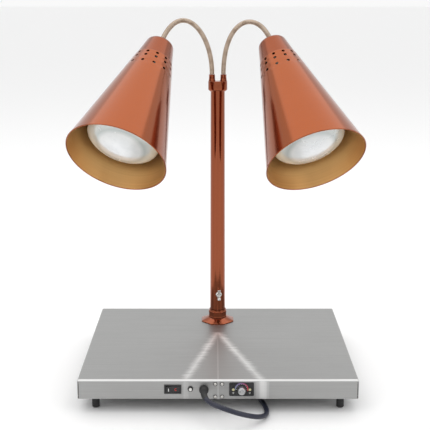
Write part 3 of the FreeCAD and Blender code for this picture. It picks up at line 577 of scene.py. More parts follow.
black_plastic = moulded("black moulded plastic", (0.012, 0.012, 0.013), (0.035, 0.034, 0.033), (0.34, 0.5))
gloss_black = moulded("gloss black switch plastic", (0.010, 0.010, 0.011), (0.03, 0.03, 0.03), (0.16, 0.3),
                      depth=0.08)
black_rubber = moulded("black rubber", (0.014, 0.014, 0.015), (0.05, 0.048, 0.046), (0.5, 0.72), size=600)
cord_jacket = moulded("cord jacket", (0.010, 0.012, 0.028), (0.028, 0.030, 0.055), (0.32, 0.48), size=400,
                      depth=0.12)
plate_enamel = moulded("black dial enamel", (0.010, 0.010, 0.011), (0.025, 0.025, 0.025), (0.25, 0.4),
                       depth=0.08)
white_plastic = moulded("white moulded plastic", (0.78, 0.78, 0.75), (0.6, 0.58, 0.54), (0.3, 0.45))
nylon = moulded("natural nylon", (0.74, 0.72, 0.66), (0.58, 0.55, 0.48), (0.4, 0.55))
porcelain = moulded("glazed porcelain", (0.80, 0.79, 0.75), (0.66, 0.63, 0.57), (0.12, 0.25), depth=0.05)
silicone_mat = moulded("red silicone mat", (0.36, 0.06, 0.03), (0.26, 0.04, 0.02), (0.5, 0.7), size=300)
felt = moulded("mineral felt", (0.72, 0.69, 0.62), (0.55, 0.51, 0.43), (0.85, 1.0), size=250, depth=0.9)
mark_white = moulded("white print", (0.85, 0.85, 0.83), (0.7, 0.7, 0.68), (0.45, 0.6), depth=0.05)
mark_red = moulded("red print", (0.70, 0.03, 0.02), (0.5, 0.03, 0.02), (0.4, 0.55), depth=0.05)
seam_shadow = moulded("seam shadow", (0.10, 0.10, 0.10), (0.2, 0.2, 0.2), (0.5, 0.7), Metallic=0.6)


def make_lens_material():
    made, tree, shader = new_material("pale amber lens", IOR=1.49, Coat_Weight=0.5)
    shader.inputs["Transmission Weight"].default_value = 0.35
    place = surface_place(tree, False)
    smudge = place_group(tree, handling_group, Place=place, Size=120.0, Amount=0.4)
    colour = place_group(tree, tint_group, Base=(0.86, 0.80, 0.46), Other=(0.6, 0.5, 0.2),
                         Mask=smudge.outputs[0], Amount=0.5)
    tree.links.new(colour.outputs[0], shader.inputs["Base Color"])
    rough_by(tree, shader, smudge.outputs[0], 0.12, 0.3)
    return made


def make_pearl_material():
    """Frosted bulb face: a milky rim, a greyer ring inside it and a bright clouded middle."""
    made, tree, shader = new_material("pearl bulb face", Metallic=0.25, Coat_Weight=0.7, Coat_Roughness=0.1)
    place = surface_place(tree, False)
    cloud = place_group(tree, handling_group, Place=place, Size=16.0, Amount=0.9)
    frost = place_group(tree, moulding_group, Place=place, Size=700.0, Depth=0.06)
    run = node(tree, "SeparateXYZ", Vector=surface_place(tree, True))
    share = node(tree, "MapRange", Value=run.outputs[1], From_Min=0.0, From_Max=0.075)
    rings = tree.nodes.new("ShaderNodeValToRGB")
    tree.links.new(share.outputs[0], rings.inputs[0])
    stops = [(0.0, (0.66, 0.71, 0.68)), (0.26, (0.74, 0.79, 0.77)), (0.40, (0.50, 0.55, 0.54)),
             (0.52, (0.80, 0.82, 0.82)), (1.0, (0.90, 0.92, 0.94))]
    rings.color_ramp.elements.remove(rings.color_ramp.elements[0])
    for k, (at, colour) in enumerate(stops):
        stop = rings.color_ramp.elements[0] if k == 0 else rings.color_ramp.elements.new(at)
        stop.position = at
        stop.color = (*colour, 1)
    colour = place_group(tree, tint_group, Base=(0.86, 0.89, 0.90), Other=(0.52, 0.56, 0.58),
                         Mask=cloud.outputs[0], Amount=0.55)
    tree.links.new(rings.outputs[0], colour.inputs["Base"])
    tree.links.new(colour.outputs[0], shader.inputs["Base Color"])
    rough_by(tree, shader, cloud.outputs[0], 0.16, 0.34)
    tree.links.new(frost.outputs["Normal"], shader.inputs["Normal"])
    return made


def make_scale_material():
    """Printed heat scale: grey blue at the cold end, purple, then red."""
    made, tree, shader = new_material("printed heat scale", Roughness=0.4)
    coords = surface_place(tree, True)
    split = node(tree, "SeparateXYZ", Vector=coords)
    ramp = node(tree, "ValToRGB", Fac=split.outputs[0])
    stops = [(0.0, (0.20, 0.26, 0.36)), (0.4, (0.20, 0.13, 0.30)), (0.7, (0.36, 0.06, 0.12)),
             (1.0, (0.62, 0.04, 0.03))]
    ramp.color_ramp.elements.remove(ramp.color_ramp.elements[0])
    for k, (at, colour) in enumerate(stops):
        stop = ramp.color_ramp.elements[0] if k == 0 else ramp.color_ramp.elements.new(at)
        stop.position = at
        stop.color = (*colour, 1)
    tree.links.new(ramp.outputs[0], shader.inputs["Base Color"])
    return made


lens_material = make_lens_material()
pearl_glass = make_pearl_material()
scale_print = make_scale_material()
silvered_glass = metal("silvered reflector", (0.80, 0.81, 0.82), (0.62, 0.63, 0.65), (60, 60, 60),
                       (0.10, 0.25),
                       depth=0.02, tint=0.3, marks=0.4, Coat_Weight=0.6, Coat_Roughness=0.05)


# ------------------------------------------------------------------ cord
def lead_route():
    floor = CORD_RADIUS / MM
    points = [
        (0, 0, 0), (0, -19.1, -0.5), (9.6, -41.1, -3.7),
    ]
    start = [gland_mouth + Vector(p) * MM for p in points]
    points = [
        (6.8, -261, 37), (31, -264.5, 29.5),
        (54.5, -258, 20.5), (74.5, -243, 11.5), (86.5, -221, 5.6), (88.6, -197, floor), (84, -168, floor),
        (74, -132, floor), (66, -86, floor), (65, -40, floor), (71, 8, floor), (80, 56, floor), (86, 104,
                                                                                                 floor),
        (87, 150, floor), (84.8, 188, floor), (84, 218, floor), (84.5, 244, floor),
    ]
    return start + [Vector(p) * MM for p in points]


def coil_turns():
    """Two turns winding in on the floor, then one and a half winding out on top of them."""
    centre_x, centre_y = 30.0, 280.0
    entry, inner, leaving = 54.5, 35.7, 54.5
    low, high = 4.5, 13.6
    per_turn = 12
    spread = 1 / math.cos(math.pi / per_turn)
    turns_in, turns_out = 2.0, 1.5
    points = []
    for k in range(int((turns_in + turns_out) * per_turn) + 1):
        turn = k / per_turn
        if turn <= turns_in:
            radius = entry + (inner - entry) * turn / turns_in
        else:
            radius = inner + (leaving - inner) * (turn - turns_in) / turns_out
        climb = min(max((turn - turns_in + 0.25) / 0.5, 0), 1)
        angle = 2 * math.pi * turn
        points.append(Vector((
            centre_x + radius * spread * math.cos(angle), centre_y + radius * spread * math.sin(angle),
            low + (high - low) * climb,
        )) * MM)
    return points


def tail_route():
    points = [
        (-24.5, 244, 13.5), (-25.4, 218, 12.5), (-39.7, 195.1, 10), (-64.4, 182, 7.2), (-93.4, 183, 6),
        (-119.4, 198, 7), (-137.7, 224.2, 10),
    ]
    return [Vector(p) * MM for p in points]


def make_cord():
    route = lead_route() + coil_turns() + tail_route()
    curve = bpy.data.curves.new("power_cord_run", "CURVE")
    curve.dimensions = "3D"
    spline = curve.splines.new("NURBS")
    spline.points.add(len(route) - 1)
    for point, place in zip(spline.points, route):
        point.co = (*place, 1)
    spline.order_u = 3
    spline.use_endpoint_u = True
    spline.resolution_u = 8
    line = link("cord line", curve)
    graph = bpy.context.evaluated_depsgraph_get()
    smooth = bpy.data.meshes.new_from_object(line.evaluated_get(graph))
    path = [v.co.copy() for v in smooth.vertices]
    length = sum((b - a).length for a, b in zip(path, path[1:]))
    curve.bevel_depth = CORD_RADIUS
    curve.bevel_resolution = 6
    curve.use_fill_caps = True
    line.name = "power_cord_run"
    return line, path, length


def stretch_of(path, start, end):
    """The part of a path between two distances along it."""
    run = 0.0
    part = []
    for a, b in zip(path, path[1:]):
        step = (b - a).length
        if run + step >= start and run <= end:
            if not part:
                part.append(a.lerp(b, max(0.0, (start - run) / step)))
            part.append(a.lerp(b, min(1.0, (end - run) / step)))
        run += step
    return part


def resampled(path, count):
    """Evenly spaced points along a path."""
    lengths = [0.0]
    for a, b in zip(path, path[1:]):
        lengths.append(lengths[-1] + (b - a).length)
    result = []
    k = 0
    for n in range(count):
        want = lengths[-1] * n / (count - 1)
        while k < len(path) - 2 and lengths[k + 1] < want:
            k += 1
        step = lengths[k + 1] - lengths[k]
        share = (want - lengths[k]) / step if step else 0
        result.append(path[k].lerp(path[k + 1], min(max(share, 0), 1)))
    return result


def make_strain_relief(path):
    """Tapered ribbed sleeve where the cord leaves the gland."""
    length = 30 * MM
    count = 61
    middle = resampled(stretch_of(path, 0, length), count)
    radii = []
    for k in range(count):
        share = k / (count - 1)
        radius = 6.4 * MM * (1 - share) + 5.0 * MM * share
        if 8 <= k <= 50 and k % 7 in (0, 1):
            radius = CORD_RADIUS + 0.15 * MM
        radii.append(radius)
    radii[-1] = CORD_RADIUS + 0.1 * MM
    return tube_mesh("strain_relief", middle, radii, segments=32, sharp=60)


def make_gland():
    outline = [(0, 9), (5.6, 9), (6.4, 8.6), (7.2, 4.6), (8.5, 4.0), (8.5, 0.8), (8.1, 0.0), (0, 0)]
    outline = [(r * MM, h * MM) for r, h in outline]
    gland = spun("gland_body", softened(outline, 0.4 * MM), on_face(gland_mouth.x, gland_mouth.z))
    notches = []
    for k in range(6):
        angle = 2 * math.pi * k / 6
        out = 8.5 * MM
        lug = prism("gland_lug", rounded_rectangle(2.6 * MM, 1.2 * MM, 0.5 * MM), 0.8 * MM, 3.6 * MM,
                    on_face(gland_mouth.x, gland_mouth.z) @ Matrix.Rotation(angle, 4, "Z")
                    @ Matrix.Translation((0, out - 0.35 * MM, 0)))
        notches.append(lug)
    gland = joined("cord_gland_body", [gland] + notches)
    return dress(gland, "base", black_rubber, "black_rubber", "cord_gland")


def make_plug(path):
    """Moulded plug with finger grips at the end of the cord."""
    end = path[-1]
    heading = (path[-1] - path[-3])
    heading.z = 0
    place = frame_along(heading, end)
    rings = [(0, 6.3, 6.3), (10, 6.3, 6.3), (13, 8.5, 7.5), (18, 11.8, 9.2), (26, 11.2, 8.8), (36, 12.2, 9.6),
             (45, 13.0, 10.0), (49, 12.6, 9.6), (50, 11.6, 8.8)]
    points, faces = [], []
    count = 40
    for along, wide, tall in rings:
        for k in range(count):
            angle = 2 * math.pi * k / count
            c, s = math.cos(angle), math.sin(angle)
            power = 0.55 if along > 12 else 1.0
            x = wide * math.copysign(abs(c) ** power, c)
            y = tall * math.copysign(abs(s) ** power, s)
            points.append(place @ (Vector((x, y, along)) * MM))
    for r in range(len(rings) - 1):
        for k in range(count):
            n = (k + 1) % count
            faces.append((r * count + k, r * count + n, (r + 1) * count + n, (r + 1) * count + k))
    faces.append(tuple(reversed(range(count))))
    faces.append(tuple(range((len(rings) - 1) * count, len(rings) * count)))
    plug = mesh_piece("plug_body", points, faces, sharp=45)
    return dress(plug, "base", black_rubber, "black_rubber", "power_plug")


def make_all_cord():
    cord, path, length = make_cord()
    cord.data.materials.append(cord_jacket)
    dress(cord, "base", None, "black_rubber", "power_cord", "cord_coil")
    make_gland()
    sleeve = dress(make_strain_relief(path), "base", black_rubber, "black_rubber")
    plug = make_plug(path)
    print("cord length", round(length, 4))


# ------------------------------------------------------------------ lamps
def lamp_place(side):
    """Matrix of a lamp: Z runs from the cap's flat top to the mouth."""
    nut = centre(f"{side}_lamp_nut")
    base = centre(f"{side}_bulb_base")
    axis = (base - nut).normalized()
    top = nut - axis * (CAP_SHEET + LAMP_NUT_HEIGHT / 2)
    place = UP.rotation_difference(axis).to_matrix().to_4x4()
    place.translation = top
    return place, axis, top


def shade_radius(along):
    share = (along - CAP_HEIGHT) / (SHADE_LENGTH - CAP_HEIGHT)
    return SHADE_TOP_RADIUS + share * (MOUTH_RADIUS - SHADE_TOP_RADIUS)


def make_shade(side):
    """Spun cone with three rows of round vents cut through it, copper outside and brass inside."""
    place, _, _ = lamp_place(side)
    columns = 9
    around = VENTS_PER_ROW * columns
    band = 4.6 * MM
    upright_steps = 3
    built = bmesh.new()
    layer = built.loops.layers.uv.new("surface")

    def spot(column, along, inside):
        radius = shade_radius(along) - (SHADE_WALL if inside else 0)
        angle = 2 * math.pi * (column - columns / 2) / around + VENT_TURN
        return Vector((radius * math.cos(angle), radius * math.sin(angle), along)), (column / around, along)

    def face(corners, inside):
        if inside:
            corners = list(reversed(corners))
        made = built.faces.new([built.verts.new(place @ at) for at, _ in corners])
        for loop, (_, uv) in zip(made.loops, corners):
            loop[layer].uv = uv
        made.material_index = 1 if inside else 0
        made.smooth = True

    def strip(low, high, inside):
        for c in range(around):
            face([spot(c, high, inside), spot(c + 1, high, inside), spot(c + 1, low, inside),
                  spot(c, low, inside)],
                 inside)

    def vent(first_column, middle, inside):
        """One pierced cell of the sheet; returns the rim of its hole."""
        border = []
        for c in range(columns):
            border.append((first_column + c, middle - band))
        for k in range(upright_steps):
            border.append((first_column + columns, middle - band + 2 * band * k / upright_steps))
        for c in range(columns):
            border.append((first_column + columns - c, middle + band))
        for k in range(upright_steps):
            border.append((first_column, middle + band - 2 * band * k / upright_steps))
        half = columns / 2
        radius = shade_radius(middle)
        rim = []
        for column, along in border:
            across = 2 * math.pi * radius * (column - first_column - half) / around
            angle = math.atan2(along - middle, across)
            rim_column = first_column + half + VENT_RADIUS * math.cos(angle) * around / (2 * math.pi * radius)
            rim.append(spot(rim_column, middle + VENT_RADIUS * math.sin(angle), inside))
        ring = [spot(column, along, inside) for column, along in border]
        n = len(ring)
        for k in range(n):
            face([ring[(k + 1) % n], ring[k], rim[k], rim[(k + 1) % n]], inside)
        return rim

    middles = [CAP_HEIGHT + row for row in VENT_ROWS]
    edges = [CAP_HEIGHT]
    for middle in middles:
        edges += [middle - band, middle + band]
    lower_steps = 26
    start = edges[-1]
    mouth = SHADE_LENGTH - 1.2 * MM
    plain = [(edges[0], edges[1]), (edges[2], edges[3]), (edges[4], edges[5])]
    for k in range(lower_steps):
        plain.append((start + (mouth - start) * k / lower_steps,
                      start + (mouth - start) * (k + 1) / lower_steps))
    for inside in (False, True):
        for low, high in plain:
            strip(low, high, inside)
    for middle in middles:
        for v in range(VENTS_PER_ROW):
            outer = vent(v * columns, middle, False)
            inner = vent(v * columns, middle, True)
            n = len(outer)
            for k in range(n):
                face([outer[k], inner[k], inner[(k + 1) % n], outer[(k + 1) % n]], False)

    def turned(outline, inside):
        for (r0, s0), (r1, s1) in zip(outline, outline[1:]):
            for c in range(around):
                corners = []
                for column, radius, along in ((c, r0, s0), (c, r1, s1), (c + 1, r1, s1), (c + 1, r0, s0)):
                    angle = 2 * math.pi * (column - columns / 2) / around + VENT_TURN
                    at = Vector((radius * math.cos(angle), radius * math.sin(angle), along))
                    corners.append((at, (column / around, along)))
                face(corners, inside)

    wall_out = shade_radius(mouth)
    bead = 1.3 * MM
    bead_centre = (wall_out - SHADE_WALL / 2, mouth)
    rolled = []
    steps = 12
    for k in range(steps + 1):
        angle = math.pi * k / steps
        if k == 0:
            rolled.append((wall_out, mouth))
        elif k == steps:
            rolled.append((wall_out - SHADE_WALL, mouth))
        else:
            rolled.append((bead_centre[0] + bead * 0.85 * math.cos(angle),
                           bead_centre[1] + bead * math.sin(angle)))
    turned(rolled, False)
    shoulder_hole = 29.0 * MM
    top_out = shade_radius(CAP_HEIGHT)
    shoulder = [(top_out - SHADE_WALL, CAP_HEIGHT), (shoulder_hole, CAP_HEIGHT),
                (shoulder_hole, CAP_HEIGHT - SHADE_WALL),
                (top_out - 0.6 * MM, CAP_HEIGHT - SHADE_WALL), (top_out, CAP_HEIGHT)]
    turned(shoulder, False)
    bmesh.ops.remove_doubles(built, verts=built.verts, dist=2e-6)
    bmesh.ops.recalc_face_normals(built, faces=built.faces)
    mesh = bpy.data.meshes.new(f"{side}_shade_shell")
    built.to_mesh(mesh)
    built.free()
    mesh.set_sharp_from_angle(angle=math.radians(32))
    shade = link(f"{side}_shade_shell", mesh)
    return dress(shade, f"{side}_lamp", [spun_copper, brass_inside], "copper_shade", f"{side}_shade")


def make_cap(side):
    place, _, _ = lamp_place(side)
    wall = CAP_SHEET
    low = CAP_HEIGHT - SHADE_WALL
    outer = [(5.2 * MM, 0), (CAP_TOP_RADIUS, 0), (CAP_FOOT_RADIUS - 0.5 * MM, low - 1.6 * MM),
             (CAP_FOOT_RADIUS, low)]
    outer = softened(outer[:3], CAP_EDGE, 10)[:-1] + [Vector(outer[2]), Vector(outer[3])]
    inner = softened([(CAP_FOOT_RADIUS - wall, low), (CAP_TOP_RADIUS - wall, wall), (5.2 * MM, wall)],
                     CAP_EDGE - wall, 8)
    cap = spun(f"{side}_cap_shell", list(outer) + list(inner) + [(5.2 * MM, 0)], place, segments=126)
    return dress(cap, f"{side}_lamp", copper_cap, "copper_shade", f"{side}_neck_cap")


def make_fitting(side):
    place, _, _ = lamp_place(side)
    outline = [(3.0, -4.0), (6.0, -4.0), (6.4, -3.5), (6.5, -2.4), (8.2, -1.7), (8.6, -1.2), (8.6, -0.3),
               (8.3, 0.0),
               (4.9, 0.0), (4.9, 22.0), (3.0, 22.0), (3.0, -4.0)]
    outline = [(r * MM, h * MM) for r, h in outline]
    fitting = spun(f"{side}_arm_end", outline, place, segments=48)
    return dress(fitting, f"{side}_lamp", polished_copper, "polished_copper", f"{side}_arm_fitting")


def bezier(poles, t):
    points = [Vector(p) for p in poles]
    while len(points) > 1:
        points = [a.lerp(b, t) for a, b in zip(points, points[1:])]
    return points[0]


def make_bulb(side):
    """Reflector bulb: silvered bowl, rounded rim and pearl face."""
    place, _, _ = lamp_place(side)
    base_radius, radius = 13.1 * MM, 69.0 * MM
    neck = 69.0 * MM
    widest = SHADE_LENGTH - 46.0 * MM
    rise = widest - neck
    face_rise = 24.0 * MM
    flank = [
        (base_radius, neck), (base_radius + 8 * MM, neck + rise * 0.2), (radius * 0.42, neck + rise * 0.42),
        (radius, neck + rise * 0.78), (radius, widest),
    ]
    face = [(radius, widest), (radius, widest + face_rise * 0.45), (radius * 0.6, widest + face_rise),
            (0, widest + face_rise)]
    bowl_outline = [bezier(flank, k / 28) for k in range(29)]
    face_outline = [bezier(face, k / 24) for k in range(25)]
    face_outline[-1] = Vector((0, widest + face_rise))
    bowl = spun(f"{side}_bulb_bowl", bowl_outline, place, segments=112)
    dress(bowl, None, silvered_glass, "pearl_glass")
    front = spun(f"{side}_bulb_front", face_outline, place, segments=112)
    front.data.materials.append(pearl_glass)
    bulb = joined(f"{side}_bulb_envelope", [bowl, front])
    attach(bulb, f"{side}_lamp")
    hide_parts(f"{side}_bulb_glass")
    return bulb


# ------------------------------------------------------------------ goosenecks
def arm_line(side):
    """Smooth line of the gooseneck from the ferrule to the lamp's fitting."""
    _, axis, top = lamp_place(side)
    start = Vector((SIDES[side] * 11.5 * MM, post_y, ferrule_top + ARM_GAP))
    end = top - axis * FITTING_LENGTH
    poles = [start, start + UP * ARM_RISE[side], end - axis * ARM_LEAD[side], end]
    return resampled([bezier(poles, k / 400) for k in range(401)], 1201)


def nearest(line, point):
    return min(range(len(line)), key=lambda k: (line[k] - point).length)


def make_gooseneck(side):
    """Wound wire hose: one piece for each bending point, from middle to middle of the rigid lengths."""
    line = arm_line(side)
    step = sum((b - a).length for a, b in zip(line, line[1:])) / (len(line) - 1)
    pivots = [j for j in frame["joints"] if j["name"].startswith(f"{side}_arm_bend")]
    pivots.sort(key=lambda j: j["parent"])
    stops = [nearest(line, Vector(j["pos_m"])) for j in pivots]
    bounds = [0] + stops + [len(line) - 1]
    middles = [(a + b) // 2 for a, b in zip(bounds, bounds[1:])]
    bodies = [f"{side}_arm_{k}" for k in range(1, 5)] + [f"{side}_lamp"]
    pitch = 1.7 * MM

    def hose(name, first, last):
        count = max(8, int((last - first) * step / (pitch / 6)))
        points = resampled(line[first:last + 1], count)
        radii = []
        for k in range(count):
            run = first * step + (last - first) * step * k / (count - 1)
            wave = 0.5 + 0.5 * math.cos(2 * math.pi * run / pitch)
            radii.append(ARM_RADIUS - 0.62 * MM * (1 - wave ** 0.5))
        return tube_mesh(name, points, radii, segments=28, sharp=80)

    first = hose(f"{side}_hose_root", 0, middles[0])
    dress(first, bodies[0], wound_wire, "gooseneck_wire", f"{side}_gooseneck_1")
    for k in range(4):
        piece = hose(f"{side}_hose_bend_{k + 1}", middles[k], middles[k + 1])
        dress(piece, None, wound_wire, "gooseneck_wire", f"{side}_gooseneck_{k + 2}")
        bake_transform(piece)
    last = hose(f"{side}_hose_end", middles[4], len(line) - 1)
    dress(last, bodies[4], wound_wire, "gooseneck_wire")


# ------------------------------------------------------------------ post
def make_post():
    low, high = post_low[2], post_high[2]
    foot, head, bore = 15.7 * MM, 14.2 * MM, 13.0 * MM
    outline = [(bore, low), (foot - 0.6 * MM, low), (foot, low + 0.6 * MM)]
    steps = 24
    for k in range(1, steps):
        outline.append((foot + (head - foot) * k / steps, low + (high - low) * k / steps))
    outline += [(head, high - 0.4 * MM), (head - 0.4 * MM, high), (bore, high), (bore, low)]
    place = Matrix.Translation((0, post_y, 0))
    tube = spun("post_shell", outline, place, segments=128)
    dress(tube, "post", polished_copper, "polished_copper", "post_tube")

    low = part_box("post_flange")[0][2]
    bore = 11.1
    flange = [(bore, 0), (33.1, 0), (33.5, 0.4), (33.5, 1.5), (32.6, 2.1), (20.6, 8.0), (19.6, 8.5),
              (bore, 8.5)]
    eight_sided("post_flange_dish", flange, low, "post_flange", 6)

    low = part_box("post_collar")[0][2]
    collar = [(bore, 0), (18.2, 0), (18.6, 0.4), (18.6, 2.2), (18.1, 2.9), (18.1, 10.6), (18.6, 11.3),
              (18.6, 12.8),
              (18.0, 13.5), (17.5, 14.3), (17.4, 16.4), (16.9, 17.0), (bore, 17.0)]
    eight_sided("post_collar_rings", collar, low, "post_collar", 12.9)


def eight_sided(name, outline, low, stands_for, round_from):
    """Eight-sided turned block, one flat to the front; outline is (half across flats, height).
    Above round_from, and at the bore, it is round."""
    count = 96
    points, faces = [], []
    bore = outline[0][0]
    for half, height in outline:
        for k in range(count):
            angle = 2 * math.pi * (k + 0.5) / count
            off_flat = (angle + math.pi / 8) % (math.pi / 4) - math.pi / 8
            flat = half / math.cos(off_flat)
            flat = min(flat, half / math.cos(math.pi / 8 - 0.035))
            radius = half if height > round_from or half == bore else flat
            points.append(((radius * math.cos(angle)) * MM, post_y + radius * math.sin(angle) * MM,
                           low + height * MM))
    rings = len(outline)
    for r in range(rings):
        nr = (r + 1) % rings
        for k in range(count):
            n = (k + 1) % count
            faces.append((r * count + k, r * count + n, nr * count + n, nr * count + k))
    block = mesh_piece(name, points, faces, sharp=18)
    dress(block, "base", polished_copper, "polished_copper", stands_for)


def make_yoke():
    """Rounded block with softened edges, and its chamfered skirt."""
    low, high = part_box("arm_yoke")[0][2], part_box("arm_yoke")[1][2]
    width, depth, radius = 38.5 * MM, 31.0 * MM, 14.2 * MM
    skirt = low + 4.0 * MM
    levels = [(low, 5.2), (low + 1.0 * MM, 3.6), (skirt - 0.8 * MM, 0.9), (skirt, 0.35),
              (skirt + 0.6 * MM, 0.05),
              (skirt + 1.4 * MM, 0), (high - 1.4 * MM, 0), (high - 0.6 * MM, 0.15), (high - 0.2 * MM,
                                                                                     0.5), (high, 1.2)]
    points, faces = [], []
    count = 0
    for z, inset in levels:
        inset *= MM
        ring = rounded_rectangle(width - 2 * inset, depth - 2 * inset, radius - inset, 12)
        count = len(ring)
        points += [(x, post_y + y, z) for x, y in ring]
    for r in range(len(levels) - 1):
        for k in range(count):
            n = (k + 1) % count
            faces.append((r * count + k, r * count + n, (r + 1) * count + n, (r + 1) * count + k))
    faces.append(tuple(reversed(range(count))))
    faces.append(tuple(range((len(levels) - 1) * count, len(levels) * count)))
    yoke = mesh_piece("yoke_block", points, faces, sharp=50)
    dress(yoke, "post", polished_copper, "polished_copper", "arm_yoke")
    ferrules = []
    foot_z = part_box("arm_ferrules")[0][2]
    for side, sign in SIDES.items():
        outline = [(4.05, 0), (6.9, 0), (7.0, 0.5), (6.8, 1.6), (6.4, 2.2), (5.9, 10.6), (6.1, 11.2),
                   (6.1, 12.4),
                   (5.7, 13.1), (4.05, 13.1), (4.05, 0)]
        outline = [(r * MM, foot_z + h * MM) for r, h in outline]
        place = Matrix.Translation((sign * 11.5 * MM, post_y, 0))
        ferrules.append(spun(f"ferrule_{side}", outline, place, segments=64))
    pair = joined("ferrule_pair", ferrules)
    dress(pair, "post", polished_copper, "polished_copper", "arm_ferrules")


def make_wing_screw():
    """Pressed wing screw: round hub with a dimple, and two swept wings."""
    joint = next(j for j in frame["joints"] if j["name"] == "clamp_turn")
    axis = Vector(joint["axis"]).normalized()
    place = frame_along(axis, Vector(joint["pos_m"]))
    start = 16.2
    hub = [(0, 11.3), (2.95, 11.3), (2.95, start), (6.0, start), (6.3, start + 0.6), (6.1, start + 5.4),
           (5.5, start + 6.6), (4.5, start + 7.2), (3.4, start + 6.9), (2.9, start + 5.2), (0, start + 4.9)]
    hub = [(r * MM, h * MM) for r, h in hub]
    pieces = [spun("wing_hub", hub, place, segments=48)]
    half = 23.0 / 2
    for sign in (-1, 1):
        outline = softened([
            (sign * 3.6, start + 0.8), (sign * half * 0.7, start + 1.4), (sign * half, start + 6.6),
            (sign * half * 0.96, start + 12.6), (sign * half * 0.66, start + 11.8), (sign * 3.6, start + 5.6),
        ], 2.2, 5)
        thick = 2.9
        n = len(outline)
        points = []
        for share in (-1, 1):
            for p in outline:
                spread = 0.8 + 0.28 * abs(p.x) / half
                points.append(place @ (Vector((share * thick * spread, p.x, p.y)) * MM))
        faces = [tuple(range(n)), tuple(reversed(range(n, 2 * n)))]
        faces += [(k, n + k, n + (k + 1) % n, (k + 1) % n) for k in range(n)]
        wing = mesh_piece("wing", points, faces)
        pieces.append(bevelled(wing, 0.8 * MM))
    screw = joined("wing_screw_body", pieces)
    made = bmesh.new()
    made.from_mesh(screw.data)
    bmesh.ops.recalc_face_normals(made, faces=made.faces)
    made.to_mesh(screw.data)
    made.free()
    dress(screw, "clamp_screw", bright_plate, "zinc_screw", "wing_screw")


# ------------------------------------------------------------------ front face
def ribbon(name, radius, width, start, end, x, z, proud, steps=48, thick=0.12 * MM):
    """Thin printed arc on the front face, angles in degrees from the right, turning up."""
    points, uvs, faces = [], [], []
    base = on_face(x, z, proud)
    for k in range(steps + 1):
        angle = math.radians(start + (end - start) * k / steps)
        for r, h in ((radius - width / 2, 0), (radius + width / 2, 0), (radius + width / 2, thick),
                     (radius - width / 2, thick)):
            points.append(base @ Vector((r * math.cos(angle), r * math.sin(angle), h)))
            uvs.append((k / steps, h))
    for k in range(steps):
        for c in range(4):
            n = (c + 1) % 4
            faces.append((4 * k + c, 4 * k + n, 4 * k + 4 + n, 4 * k + 4 + c))
    faces.append((3, 2, 1, 0))
    faces.append((4 * steps, 4 * steps + 1, 4 * steps + 2, 4 * steps + 3))
    return mesh_piece(name, points, faces, uvs)


def printed_bar(name, width, height, x, z, turn, proud, radius=0.0, thick=0.12 * MM):
    """Small printed bar: turned about the point (x, z) after it is moved out by radius."""
    place = on_face(x, z, proud) @ Matrix.Rotation(turn, 4, "Z") @ Matrix.Translation((radius, 0, 0))
    corner = min(width, height) * 0.3
    return prism(name, rounded_rectangle(width, height, corner, 2), 0, thick, place)


def make_dial():
    plate_front = face_y - plate_low[1]
    plate_x = (plate_low[0] + plate_high[0]) / 2
    x, z = knob_centre.x, knob_centre.z
    scale = ribbon("heat_scale_arc", 11.4 * MM, 2.2 * MM, 185, -12, x, z, plate_front)
    dress(scale, "base", scale_print, "black_plate")
    marks = []
    tick_count = 9
    for k in range(tick_count):
        angle = math.pi * (1 - k / (tick_count - 1))
        long = 1.5 * MM if k % 2 == 0 else 0.9 * MM
        marks.append(printed_bar("tick", long, 0.35 * MM, x, z, angle, plate_front, radius=9.3 * MM))
    for sign in (-1, 1):
        px = plate_x + sign * 29.7 / 2 * MM
        below = plate_low[2] + 6.4 * MM
        marks.append(printed_bar("pilot_mark", 3.4 * MM, 0.7 * MM, px, below, 0, plate_front))
        marks.append(printed_bar("pilot_mark", 2.2 * MM, 0.5 * MM, px, below - 1.7 * MM, 0, plate_front))
    printed = joined("dial_marks", marks)
    dress(printed, "base", mark_white, "black_plate")
    pointer_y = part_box("thermostat_knob")[0][1]
    pointer = printed_bar("pointer", 5.0 * MM, 0.8 * MM, x - 3.6 * MM, z, 0, face_y - pointer_y - 0.55 * MM,
                          thick=0.35 * MM)
    dress(pointer, "knob", black_plastic, "satin_knob")
    knob = frame["nodes"]["thermostat_knob"]
    knob.data.materials.clear()
    knob.data.materials.append(satin_aluminium)
    for sign in (-1, 1):
        px = plate_x + sign * 29.7 / 2 * MM
        outline = [(2.75, 0), (3.3, 0), (3.3, 0.5), (3.1, 0.8), (2.75, 0.8), (2.75, 0)]
        outline = [(r * MM, h * MM) for r, h in outline]
        ring = spun(f"pilot_ring_{'left' if sign < 0 else 'right'}", outline,
                    on_face(px, centre("pilot_lights").z, plate_front), segments=40)
        dress(ring, "base", black_plastic, "black_plastic")


